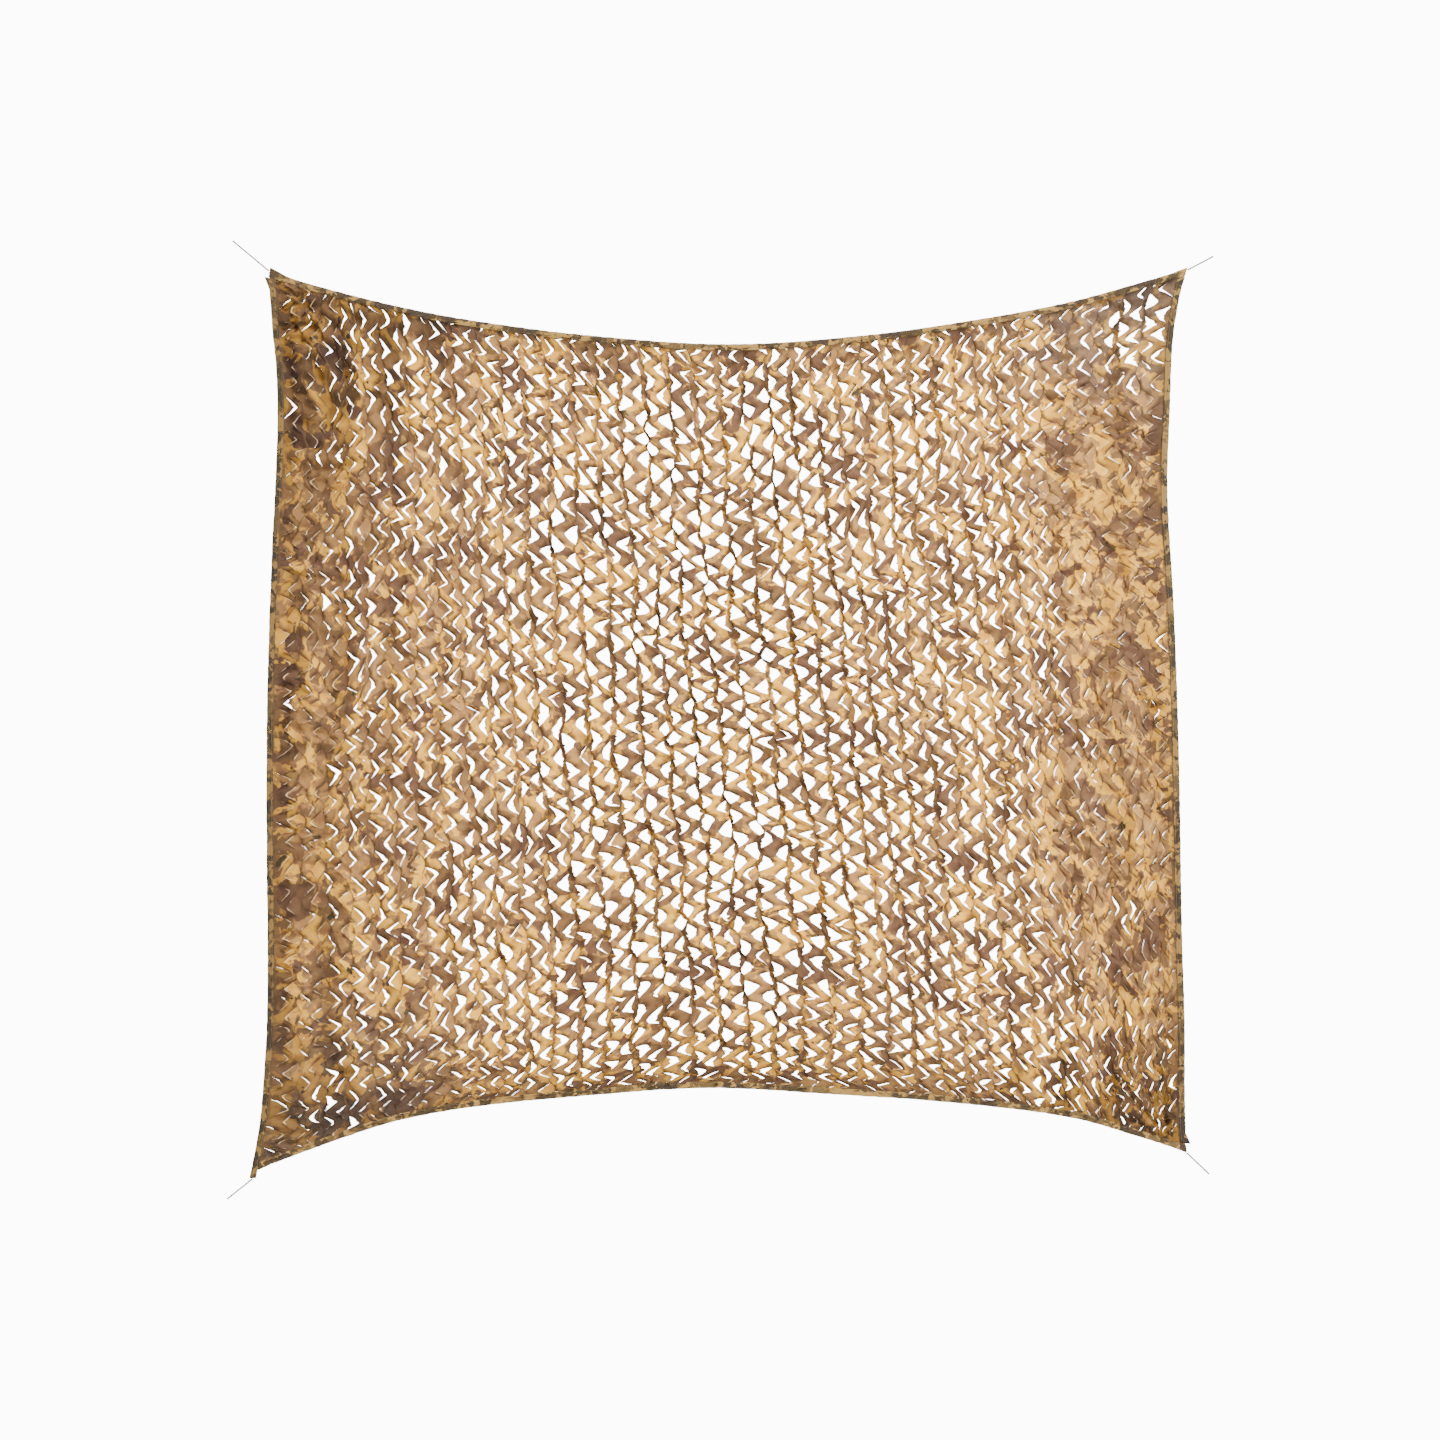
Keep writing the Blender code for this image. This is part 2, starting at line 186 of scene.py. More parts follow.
# How blunt the tip of a hole is when shut and when wide open, and the opening that counts as wide.
TIP_BLUNTNESS = (1.22, 1.62)
BLUNT_OPENING = 0.36
LINES = (0.0, 0.0625, 0.16, 0.25, 0.34, 0.4375, 0.5, 0.5625, 0.66, 0.75, 0.84, 0.9375)
LEAF_LINES = (-0.34, -0.25, -0.16, -0.0625, 0.0, 0.0625, 0.16, 0.25, 0.34)
LEAF_STEPS = 4
RIBBON_COLUMNS = (0.0, 0.2, 0.5, 0.8, 1.0)
RAGGED = 0.09
# Metres that a ribbon's lower root stands back, its upper root stands back and its middle stands forward.
RIBBON_BACK, RIBBON_UP, RIBBON_FRONT = 0.0125, 0.003, 0.0045
# A leaf's curl in degrees when shut and more when wide open, the opening that counts as wide, the share of
# open leaves that curl forward, and how far a leaf droops, in rows.
CURL_SHUT, CURL_MORE = 16, 94
WIDE_OPEN = 0.38
CURL_FORWARD = 0.8
DROOP = 0.10
FLAT_SPINE_PITCH = 0.070
FLAT_ROW_PITCH = 0.080


# ---------------- outline and depth


def smooth_step(value):
    t = np.clip(value, 0.0, 1.0)
    return t * t * (3 - 2 * t)


def follow_table(table, share):
    """The smooth curve through a table's rows, a cubic between each two."""
    s, d = np.array(table, float).T
    slopes = np.empty_like(d)
    slopes[1:-1] = (d[2:] - d[:-2]) / (s[2:] - s[:-2])
    slopes[0] = (d[1] - d[0]) / (s[1] - s[0])
    slopes[-1] = (d[-1] - d[-2]) / (s[-1] - s[-2])
    share = np.asarray(share, float)
    row = np.clip(np.searchsorted(s, share, side="left") - 1, 0, len(s) - 2)
    span = s[row + 1] - s[row]
    t = (share - s[row]) / span
    return (
        (2 * t**3 - 3 * t**2 + 1) * d[row]
        + (t**3 - 2 * t**2 + t) * span * slopes[row]
        + (3 * t**2 - 2 * t**3) * d[row + 1]
        + (t**3 - t**2) * span * slopes[row + 1]
    )


def look_up(table, share):
    """The value between a table's two nearest rows."""
    return np.interp(share, *np.array(table).T)


def between(a, b, share):
    share = np.asarray(share, float)[..., None]
    return a * (1 - share) + b * share


def drawn_edge(start, end, table, way):
    """An edge as a function of the share along it, drawn in by a table's depths."""
    way = np.array(way, float)
    return lambda share: between(start, end, share) + follow_table(table, share)[..., None] * way


top_edge = drawn_edge(TOP_LEFT, TOP_RIGHT, TOP_INSET, (0, -1))
bottom_edge = drawn_edge(BOTTOM_LEFT, BOTTOM_RIGHT, BOTTOM_INSET, (0, 1))
left_edge = drawn_edge(TOP_LEFT, BOTTOM_LEFT, LEFT_INSET, (1, 0))
right_edge = drawn_edge(TOP_RIGHT, BOTTOM_RIGHT, RIGHT_INSET, (-1, 0))
# Each edge's curve, its two corners, which way its inside lies and its shares across and down the net.
EDGES = {
    "top": (top_edge, ("top_left", "top_right"), 1, lambda s: (s, 0 * s)),
    "bottom": (bottom_edge, ("bottom_left", "bottom_right"), -1, lambda s: (s, 1 + 0 * s)),
    "left": (left_edge, ("top_left", "bottom_left"), -1, lambda s: (0 * s, s)),
    "right": (right_edge, ("top_right", "bottom_right"), 1, lambda s: (1 + 0 * s, s)),
}


def between_places(a, b, share):
    return a + (b - a) * share[..., None]


def point_in_net(u, v):
    """The (x, z) place of a share across, u, and a share down, v."""
    u, v = np.broadcast_arrays(u, v)
    sides = between_places(left_edge(v), right_edge(v), u)
    ends = between_places(top_edge(u), bottom_edge(u), v)
    top, bottom = between(TOP_LEFT, TOP_RIGHT, u), between(BOTTOM_LEFT, BOTTOM_RIGHT, u)
    return sides + ends - between_places(top, bottom, v)


def billow(u, v):
    clear = np.minimum(u, 1 - u) + np.minimum(v, 1 - v)
    fade = smooth_step((clear - FLAT_CORNER) / BILLOW_FADE)
    across = BILLOW_ACROSS * np.sin(2 * np.pi * u) * np.cos(2 * np.pi * v + 0.6)
    down = BILLOW_DOWN * np.sin(3 * np.pi * v) * np.cos(2 * np.pi * u + 0.4)
    return fade * (across + down)


def side_fold(u, v):
    """The soft upright folds of the cloth at both sides."""
    from_edge = np.minimum(u, 1 - u)
    wander = SIDE_FOLD_WANDER * np.sin(2 * np.pi * (1.7 * v + u))
    folds = np.sin(2 * np.pi * SIDE_FOLDS * from_edge + wander)
    swell = 0.65 + 0.35 * np.sin(2 * np.pi * (2.6 * v + 0.8 * u))
    fade_from, fade_over = SIDE_FOLD_FADE
    fade = smooth_step((np.minimum(v, 1 - v) + from_edge - fade_from) / fade_over)
    start, end = SIDE_FOLD_END
    return SIDE_FOLD_DEPTH * swell * folds * fade * (1 - smooth_step((from_edge - start) / (end - start)))


def waver(across, down, seed, reach, waves=6):
    """Smooth unevenness of about -1 to 1, whose waves are about reach long."""
    rng = np.random.default_rng(seed)
    total = 0.0
    for _ in range(waves):
        turn, start = rng.uniform(0, 2 * np.pi, 2)
        length = reach * rng.uniform(0.7, 1.5)
        along = across * np.cos(turn) + down * np.sin(turn)
        total = total + np.sin(2 * np.pi * along / length + start)
    return total / (waves**0.5 * 1.2)


def wavers(across, down, table):
    """Wavers added up, of which a table gives the size, the seed and the reach."""
    return sum(size * waver(across, down, seed, reach) for size, seed, reach in table)


def bump_at(value, middle, wide):
    """1 in the middle of a bell and near 0 beyond twice its width."""
    return np.exp(-(((value - middle) / wide) ** 2))


# ---------------- making objects


def add_object(name, data, spot=(0, 0, 0), turn=(0, 0, 0)):
    obj = bpy.data.objects.new(name, data)
    obj.location, obj.rotation_euler = spot, turn
    bpy.context.scene.collection.objects.link(obj)
    return obj


def mesh_object(name, points, faces, material, uv=None, shades=None):
    """A mesh whose uv and shades are given a value for each point."""
    mesh = bpy.data.meshes.new(name)
    mesh.from_pydata([tuple(p) for p in points], [], [tuple(int(i) for i in f) for f in faces])
    if uv is not None:
        corners = np.empty(len(mesh.loops), np.int32)
        mesh.loops.foreach_get("vertex_index", corners)
        layer = mesh.uv_layers.new(name="UVMap")
        layer.data.foreach_set("uv", np.asarray(uv, np.float32)[corners].ravel())
    for label, values in (shades or {}).items():
        attribute = mesh.attributes.new(label, "FLOAT", "POINT")
        attribute.data.foreach_set("value", np.asarray(values, np.float32))
    mesh.polygons.foreach_set("use_smooth", [True] * len(mesh.polygons))
    mesh.materials.append(material)
    mesh.update()
    return add_object(name, mesh)


# ---------------- the slit cloth


class Cut:
    """Where the spines, ribbons and leaves of the cloth lie, in spines across and rows down."""

    def __init__(self):
        rng = np.random.default_rng(11)
        self.rng = rng
        # One reach and one opening for each hole: [spine, side, row], side 0 right and 1 left
        shape = (SPINES + 1, 2, ROWS + 1)
        spine = np.arange(SPINES + 1)[:, None, None] + np.array((0.3, -0.3))[None, :, None]
        row = np.arange(ROWS + 1)[None, None, :] + np.array((0.0, 0.5))[None, :, None]
        spine, row = (a * 1.0 for a in np.broadcast_arrays(spine, row))
        u, v = shares_of(np.clip(spine, 0, SPINES), np.clip(row, 0, ROWS))
        self.reach = LEAF_REACH + rng.uniform(*REACH_STRAY, shape)
        opening = look_up(SLIT_OPENING, u + wavers(spine, row, COLUMNS_STRAY))
        ajar = opening > 0
        uneven = 1 + wavers(spine, row, OPENING_WAVERS) + rng.uniform(-OPENING_STRAY, OPENING_STRAY, shape)
        opening = np.where(ajar, opening * uneven * look_up(OPENING_DOWN, v), opening)
        opening = opening + self.corner_opening(u, v) * (1 + rng.uniform(-0.5, 0.5, shape))
        few = rng.uniform(0, 1, shape) > ODDLY_OPEN_ABOVE
        opening = np.where(few & (opening < 0.05), opening + rng.uniform(0.08, 0.25, shape), opening)
        shut = (rng.uniform(0, 1, shape) > ODDLY_SHUT_ABOVE) & (opening > 0)
        opening = np.where(shut, opening * 0.3, opening)
        self.opening = np.clip(opening, -WIDEST_LAP, self.reach - SPINE_HALF - LEAST_LEAF)
        sharp, blunt = TIP_BLUNTNESS
        more_blunt = (blunt - sharp) * smooth_step(opening / BLUNT_OPENING)
        self.bluntness = sharp + more_blunt + rng.uniform(-0.08, 0.08, shape)

    @staticmethod
    def corner_opening(u, v):
        """The slits that the corner pull holds open, most of all at the top right."""
        return sum(
            opened * np.exp(-(((u - u_at) / wide) ** 2) - ((v - v_at) / tall) ** 2)
            for opened, u_at, v_at, wide, tall in CORNER_OPENING
        )

    @staticmethod
    def tip_shape(offset, bluntness):
        """From 1 at a hole's tip to 0 at its ends; offset is in rows from its middle."""
        return 1 - np.clip(np.abs(offset) / HOLE_HALF_HEIGHT, 0, 1) ** bluntness

    @staticmethod
    def sway(spine, down):
        """How far a spine is pulled aside where ribbons hold it."""
        free = np.clip(np.minimum(spine, SPINES - spine), 0, 1)
        return -SPINE_SWAY * free * np.cos(2 * np.pi * down)


def rows_laid():
    """The share of the way down of every half row at every half spine."""
    spines, v = np.arange(0, SPINES + 0.6, 0.5), np.linspace(0, 1, 401)
    at, heights = [row[0] for row in ROW_HEIGHTS], np.array([row[1] for row in ROW_HEIGHTS]) / 1000
    columns = np.stack([np.interp(v, at, heights[:, i]) for i in range(len(ROW_SPINES))])
    u = follow_table(SPINE_SHARES, np.minimum(spines, SPINES))
    tall = (top_edge(u) - bottom_edge(u))[:, 1]
    laid = []
    for spine, height in zip(spines, tall):
        row_height = [np.interp(spine, ROW_SPINES, columns[:, i]) for i in range(len(v))]
        count = np.cumsum(height * (v[1] - v[0]) / np.array(row_height))
        laid.append(np.interp(np.arange(0, ROWS + 0.6, 0.5), count - count[len(v) // 2] + ROWS / 2, v))
    return np.array(laid)


ROWS_LAID = rows_laid()


def shares_of(across, down):
    """Shares across and down the net of a place given in spines and rows."""
    open_place = smooth_step(np.minimum(across, SPINES - across) / 1.5)
    moved = across + wavers(across, down, SPINES_STRAY) * open_place
    down = down + wavers(across, down, ROWS_STRAY)
    a = np.clip(moved * 2, 0, ROWS_LAID.shape[0] - 1.001)
    d = np.clip(down * 2, 0, ROWS_LAID.shape[1] - 1.001)
    i, j = a.astype(int), d.astype(int)
    p, q = a - i, d - j
    upper = ROWS_LAID[i, j] * (1 - p) + ROWS_LAID[i + 1, j] * p
    lower = ROWS_LAID[i, j + 1] * (1 - p) + ROWS_LAID[i + 1, j + 1] * p
    v = np.clip(upper * (1 - q) + lower * q, CLOTH_MARGIN, 1 - CLOTH_MARGIN)
    u = follow_table(SPINE_SHARES, moved) + follow_table(SPINE_LEAN, moved) * (v - 0.5)
    return u, v


def slackness(u):
    """1 where the cloth hangs unopened at the sides and 0 in its open middle."""
    return 1 - smooth_step((look_up(SLIT_OPENING, u) + 0.02) / 0.24)


NET_WIDTH, NET_HEIGHT = 2.95, 2.7
# How far in metres a corner's folds reach, how deep they are and how many spread from it.
CORNER_FOLDS = {
    "top_left": (0.62, 0.0085, 5.5), "top_right": (0.30, 0.004, 3.5),
    "bottom_left": (0.46, 0.0065, 4.5), "bottom_right": (0.50, 0.0075, 5.0),
}

# Turn from the top edge in quarter turns, width and depth of the creases at the top left.
CREASES = ((0.71, 0.035, 0.014), (0.82, 0.07, -0.012), (0.50, 0.03, 0.008), (0.93, 0.025, 0.008))


def from_corner(u, v):
    """Metres from a corner, and the turn from the level edge in quarter turns."""
    across, down = u * NET_WIDTH, v * NET_HEIGHT
    return np.hypot(across, down), np.arctan2(down, across) / (np.pi / 2)


def corner_folds(u, v):
    """Folds that spread from the corners, where the cords gather the cloth."""
    total = 0.0
    away, crease = from_corner(u, v)
    for turn, wide, deep in CREASES:
        ridge = deep * bump_at(crease, turn, wide)
        total = total + ridge * smooth_step(away / 0.12) * (1 - smooth_step((away - 0.25) / 0.45))
    for name, (reach, deep, count) in CORNER_FOLDS.items():
        away, turn = from_corner(u if "left" in name else 1 - u, v if "top" in name else 1 - v)
        wave = np.sin(2 * np.pi * count * (turn + 0.05 * np.sin(9 * away)) + 1.1)
        total = total + deep * wave * smooth_step(away / 0.10) * (1 - smooth_step(away / reach))
    return total


def painted_gather_shade(u, v):
    """How much painted shade darkens the cloth, 0 to 1: towards its corners, sides and ends, along the
    tapes and in the hollows of its folds.
    """
    left, right, top, bottom = u / 0.10, (1 - u) / 0.10, v / 0.10, (1 - v) / 0.10

    def near(a, b, wide):
        return np.exp(-(a * a + b * b) / wide**2)

    # Painted shade: most at the top left corner, less at the bottom corners and the top right, along the
    # left and right sides and the bottom and top ends.
    corners = 0.78 * near(left, top, 1.7) + 0.54 * near(left, bottom, 1.3) + 0.26 * near(right, bottom, 1.3)
    sides = 0.64 * bump_at(left, 0, 1.3) + 0.40 * bump_at(right, 0, 1)
    ends = 0.64 * bump_at(1.4 * bottom, 0, 1) + 0.44 * bump_at(2.2 * top, 0, 1)
    # Painted shade, deeper where the folds stand back and less where they stand forward.
    hollows = 0.24 * np.clip((corner_folds(u, v) + side_fold(u, v)) / 0.009, -1.2, 1.6)
    away, turn = from_corner(u, v)
    # Painted shade along the crease that runs from the top left corner.
    fold = 0.55 * bump_at(turn, 0.84, 0.035) * smooth_step(away / 0.1) * smooth_step((0.75 - away) / 0.3)
    # Painted shade in a band along the top and bottom tapes.
    seam = 0.44 * smooth_step((0.0165 - v) / 0.009) + 0.18 * smooth_step((v - 0.986) / 0.007)
    return np.clip(corners + sides + ends + seam + 0.22 * near(right, top, 0.9) + hollows + fold, 0, 1)


FREE_DEPTH, DEPTH_LIMIT = 0.024, 0.031


def kept_in(depth):
    """Depths beyond the free depth, eased so that none passes the limit."""
    over = np.maximum(np.abs(depth) - FREE_DEPTH, 0)
    room = DEPTH_LIMIT - FREE_DEPTH
    return np.sign(depth) * (np.minimum(np.abs(depth), FREE_DEPTH) + room * np.tanh(over / room))


def place(across, down, relief, exact_u=None):
    """Points of the cloth at spines and rows, standing back by relief."""
    u, v = shares_of(across, down)
    if exact_u is not None:
        u = np.where(np.isnan(exact_u), u, exact_u)
    xz = point_in_net(u, v)
    from_edge = np.minimum(np.minimum(u, 1 - u), np.minimum(v, 1 - v))
    free = smooth_step((from_edge - CLOTH_MARGIN) / MARGIN_FADE)
    crumple = wavers(across, down, SLACK_CRUMPLES) * slackness(u) + wavers(across, down, CRUMPLES)
    folds = side_fold(u, v) * SIDE_FOLD_SHARE + corner_folds(u, v)
    depth = billow(u, v) + free * (folds + relief + crumple)
    return np.stack([xz[..., 0], kept_in(depth), xz[..., 1]], -1)


class Patchwork:
    """A mesh gathered bit by bit: its points, their places laid flat and what else they carry."""

    def __init__(self):
        self.points, self.flat, self.carried, self.faces, self.count = [], [], {}, [], 0

    def add(self, points, flat, **carried):
        """Adds points and gives the number of the first."""
        self.points.append(points)
        self.flat.append(flat)
        for label, values in carried.items():
            self.carried.setdefault(label, []).append(np.broadcast_to(values, len(points)))
        self.count += len(points)
        return self.count - len(points)

    def sew(self, *corners):
        """Adds four-cornered faces, given the numbers of all first corners, all second and so on."""
        self.faces += zip(*corners)

    def mesh(self, name, material):
        """The mesh, without points that no face uses and faces that have shrunk to nothing."""
        points, kept = np.concatenate(self.points), []
        for face in self.faces:
            face = tuple(dict.fromkeys(int(i) for i in face))
            if len(face) < 3:
                continue
            a, b, c, d = (points[face[i]] for i in (0, 1, 2, -1))
            if np.linalg.norm(np.cross(c - a, d - b if len(face) == 4 else b - a)) > SMALLEST_FACE:
                kept.append(face)
        used = np.unique(np.concatenate(kept))
        renumber = np.full(len(points), -1)
        renumber[used] = np.arange(len(used))
        faces = [tuple(renumber[list(face)]) for face in kept]
        carried = {label: np.concatenate(values)[used] for label, values in self.carried.items()}
        return mesh_object(name, points[used], faces, material, np.concatenate(self.flat)[used], carried)


def make_net(cut, material):
    """Spines and zigzag ribbons as one cloth, with its margin under the tapes."""
    down = np.append(np.add.outer(np.arange(ROWS), LINES), ROWS)
    count, phase = len(down), down % 1.0
    net, shares = Patchwork(), []

    def add(across, relief, rim, exact_u=None):
        """Adds a column of points, one for each line, and gives their numbers within the net."""
        column = place(across, down, relief, exact_u)
        u, v = shares_of(across, down)
        flat = np.stack([across * FLAT_SPINE_PITCH, down * FLAT_ROW_PITCH], -1)
        start = net.add(column, flat, rim=rim, gather_shade=painted_gather_shade(u, v))
        shares.append(u if exact_u is None else exact_u)
        inside = np.flatnonzero((v > CLOTH_MARGIN + 1e-9) & (v < 1 - CLOTH_MARGIN - 1e-9))
        first, last = max(inside[0] - 1, 0), min(inside[-1] + 1, count - 1)
        return start + np.clip(np.arange(count), first, last), column

    rng = cut.rng
    spine_ids = np.empty((SPINES + 1, 2, count), int)
    spine_edges = np.empty((SPINES + 1, 2, count))
    spine_points = np.empty((SPINES + 1, 2, count, 3))
    for spine in range(SPINES + 1):
        middle = spine + cut.sway(spine, down) + wavers(spine, down, SPINE_WAVERS)
        for side, way in enumerate((-1, 1)):
            edge = middle + way * SPINE_HALF * (1 + rng.uniform(-0.5, 0.6, count))
            exact = None
            if (spine, side) in ((0, 0), (SPINES, 1)):
                edge = np.full(count, float(spine))
                exact = np.full(count, UNDER_TAPE if side == 0 else 1 - UNDER_TAPE)
            relief = -0.002 + 0.004 * way * np.cos(2 * np.pi * down)
            # Rim values paint shade along the spines, unevenly.
            rim = 0.7 + 0.45 * waver(spine * 3.1, down, 42, 1.4) + rng.uniform(-0.3, 0.3, count)
            rim = np.clip(rim, 0.1, 1)
            spine_ids[spine, side], spine_points[spine, side] = add(edge, relief, rim, exact)
            spine_edges[spine, side] = edge

    for a, b in spine_ids:
        net.sew(a[:-1], a[1:], b[1:], b[:-1])

    right_offset = (phase + 0.5) % 1.0 - 0.5
    left_offset = phase - 0.5
    right_row = np.round(down).astype(int)
    left_row = np.minimum(np.floor(down).astype(int), ROWS - 1)
    lower_left = np.clip(0.5 - 0.62 * np.sin(2 * np.pi * down), 0, 1)
    ribbons = []
    for ribbon in range(SPINES):
        left_root, right_root = spine_edges[ribbon, 1], spine_edges[ribbon + 1, 0]
        reach_right = cut.reach[ribbon, 0, right_row] - SPINE_HALF
        reach_left = cut.reach[ribbon + 1, 1, left_row] - SPINE_HALF
        ragged = 1 + rng.uniform(-RAGGED, RAGGED, (2, count))
        blunt_right = cut.bluntness[ribbon, 0, right_row]
        blunt_left = cut.bluntness[ribbon + 1, 1, left_row]
        left = left_root + reach_right * cut.tip_shape(right_offset, blunt_right) * ragged[0]
        right = right_root - reach_left * cut.tip_shape(left_offset, blunt_left) * ragged[1]
        slack = slackness(shares_of(down * 0 + ribbon + 0.5, down)[0])
        ids = []
        for share in RIBBON_COLUMNS:
            across = left + (right - left) * share
            back = (1 - share) ** 2.4 * lower_left + share**2.4 * (1 - lower_left)
            up = (1 - share) ** 3 * (1 - lower_left) + share**3 * lower_left
            relief = (RIBBON_BACK * back + RIBBON_UP * up - RIBBON_FRONT) * (1 - 0.45 * slack)
            relief = relief + wavers(across, down, RIBBON_TWIST) * (share - 0.5)
            # Rim values paint shade along the ribbon's lower edge.
            under = (1 - share) ** 1.5 * lower_left + share**1.5 * (1 - lower_left)
            ids.append(add(across, relief, np.clip(under + 0.2 * up, 0, 1))[0])
        held_left = np.abs(right_offset) > HOLE_HALF_HEIGHT - 1e-6
        held_right = np.abs(left_offset) > HOLE_HALF_HEIGHT - 1e-6
        ids[0] = np.where(held_left, spine_ids[ribbon, 1], ids[0])
        ids[-1] = np.where(held_right, spine_ids[ribbon + 1, 0], ids[-1])
        for a, b in zip(ids, ids[1:]):
            net.sew(a[:-1], a[1:], b[1:], b[:-1])
        ribbons.append(ids)

    # Margins along the top and bottom, from the first and last line to the cloth's cut edge
    for end, exact in ((0, UNDER_TAPE), (count - 1, 1 - UNDER_TAPE)):
        order = []
        for spine, ids in enumerate([*ribbons, []]):
            order += [column[end] for column in (*spine_ids[spine], *ids)]
        order = np.array(list(dict.fromkeys(order)))
        flat = np.concatenate(net.flat)[order] + (0, MARGIN_FLAT if end else -MARGIN_FLAT)
        u = np.maximum.accumulate(np.concatenate(shares)[order])
        v = np.full(len(order), exact)
        xz = point_in_net(u, v)
        points = np.stack([xz[:, 0], billow(u, v), xz[:, 1]], -1)
        outer = net.add(points, flat, rim=0, gather_shade=painted_gather_shade(u, v)) + np.arange(len(order))
        if end:
            net.sew(outer[1:], order[1:], order[:-1], outer[:-1])
        else:
            net.sew(outer[:-1], order[:-1], order[1:], outer[1:])
    return net.mesh("net_cloth", material), spine_edges, spine_points, down


def flat_area(net):
    """The area in square metres of the cloth laid flat, without its holes."""
    uv = np.empty(len(net.data.loops) * 2, np.float32)
    net.data.uv_layers["UVMap"].data.foreach_get("uv", uv)
    uv = uv.reshape(-1, 2).astype(float)
    total = 0.0
    for face in net.data.polygons:
        x, y = uv[face.loop_start : face.loop_start + face.loop_total].T
        total += abs(x @ np.roll(y, -1) - y @ np.roll(x, -1)) / 2
    return round(total, 2)


def make_leaves(cut, spine_edges, spine_points, down, material):
    """The tongue that each slit frees: it stays on its spine and curls as its slit opens."""
    rng = np.random.default_rng(12)
    line_of = {round(float(d), 4): i for i, d in enumerate(down)}
    offsets = np.array(LEAF_LINES)
    steps = np.arange(1, LEAF_STEPS + 1) / LEAF_STEPS
    n, lines_in_leaf = LEAF_STEPS + 1, len(LEAF_LINES)
    leaves = Patchwork()
    for spine in range(SPINES + 1):
        for side, way in ((0, 1), (1, -1)):
            if (spine, side) in ((0, 1), (SPINES, 0)):
                continue
            for row in range(1, ROWS) if side == 0 else range(ROWS):
                centre = row + (0.5 if side else 0.0)
                lines = [line_of[round(centre + offset, 4)] for offset in LEAF_LINES]
                rows_down = down[lines]
                edge = spine_edges[spine, 1 - side][lines]
                root = spine_points[spine, 1 - side][lines]
                opening, reach = cut.opening[spine, side, row], cut.reach[spine, side, row]
                shape = cut.tip_shape(offsets, cut.bluntness[spine, side, row])
                shut = opening < 0.02
                open_share = min(max(opening, 0.0) / WIDE_OPEN, 1.0)
                torn = (-0.03 - 0.30 * open_share, 0.10 + 0.20 * open_share)
                shape = shape * (1 + rng.uniform(*torn, len(shape)))
                seen = (reach - SPINE_HALF - opening) * shape
                curl = math.radians(CURL_SHUT + CURL_MORE * open_share) * rng.uniform(0.85, 1.15)
                towards = -1 if shut or rng.uniform() < CURL_FORWARD else 0.7
                droop = DROOP * open_share * rng.uniform(0.0, 1.2)
                tip = place(edge + way * seen, rows_down + droop * shape, -0.002)
                run = tip - root
                block, flats = [root], [edge]
                length = np.linalg.norm(run, axis=1) * curl / math.sin(curl)
                for s in steps:
                    p = root + run * math.sin(curl * s) / math.sin(curl)
                    p[:, 1] += towards * length * (1 - math.cos(curl * s)) / curl - 0.002 * s * shape
                    p[:, 1] = kept_in(p[:, 1])
                    block.append(p)
                    flats.append(edge + way * (reach - SPINE_HALF) * shape * s)
                across = np.stack(flats, 1).ravel()
                flat = (across * FLAT_SPINE_PITCH, np.repeat(rows_down, n) * FLAT_ROW_PITCH)
                # Rim values paint shade at a leaf's root, more on open leaves.
                fade = (0.1 + 0.9 * open_share) * np.append(1.0, 0.8 - 0.3 * steps)
                fade = fade * (1 - 0.6 * np.append(0, steps) ** 2)
                # Lip values paint a highlight along a leaf's free edge, strongest on shut leaves.
                pale = np.append(np.zeros(n - 2), (0.3 * open_share, 1 - 0.5 * open_share))
                start = leaves.add(
                    np.stack(block, 1).reshape(-1, 3), np.stack(flat, -1),
                    rim=np.tile(fade, lines_in_leaf), lip=np.tile(pale, lines_in_leaf),
                    gather_shade=np.repeat(painted_gather_shade(*shares_of(edge, rows_down)), n),
                )
                ids = start + np.arange(lines_in_leaf * n).reshape(lines_in_leaf, n)
                ids[0], ids[-1] = ids[0, 0], ids[-1, 0]
                for a, b in zip(ids, ids[1:]):
                    corners = (a[:-1], b[:-1], b[1:], a[1:])
                    leaves.sew(*(corners if way == 1 else corners[::-1]))
    return leaves.mesh("net_leaves", material)


# ---------------- edges of the net


def edge_frame(edge, share):
    """The point on an edge, the way along it and the way into the net, as (x, z)."""
    curve, _, turn, _ = EDGES[edge]
    ahead = curve(min(share + 0.002, 1)) - curve(max(share - 0.002, 0))
    along = ahead / np.linalg.norm(ahead)
    return curve(share), along, np.array((along[1], -along[0])) * turn


def corner_frames(name):
    ways = {}
    for edge, (_, ends, _, _) in EDGES.items():
        if name in ends:
            at_start = name == ends[0]
            point, along, inward = edge_frame(edge, 0.0 if at_start else 1.0)
            ways[edge] = (along if at_start else -along, inward)
    return point, ways


def mitre(name, depth):
    point, ways = corner_frames(name)
    first, second = (inward for _, inward in ways.values())
    return point + (first + second) * depth / (1 + first @ second)


def tape_end(edge, corner):
    """The outer and inner points of a tape's end at a corner."""
    facts = CORNERS[corner]
    point, ways = corner_frames(corner)
    other = next(name for name in ways if name != edge)
    through = facts.through
    along_butt = ways[other if through == edge else edge][0]
    across_angle = math.sqrt(1 - (ways[edge][0] @ ways[other][0]) ** 2)
    seam_outer = point + along_butt * TAPE_WIDTH / across_angle
    if through == edge:
        return point + facts.through_ear, seam_outer + facts.inner_ear
    away = along_butt * SEAM_GAP / across_angle
    return seam_outer + away + facts.butt_ear, mitre(corner, TAPE_WIDTH) + away


TAPE_STATIONS = 260
END_STEPS = 6
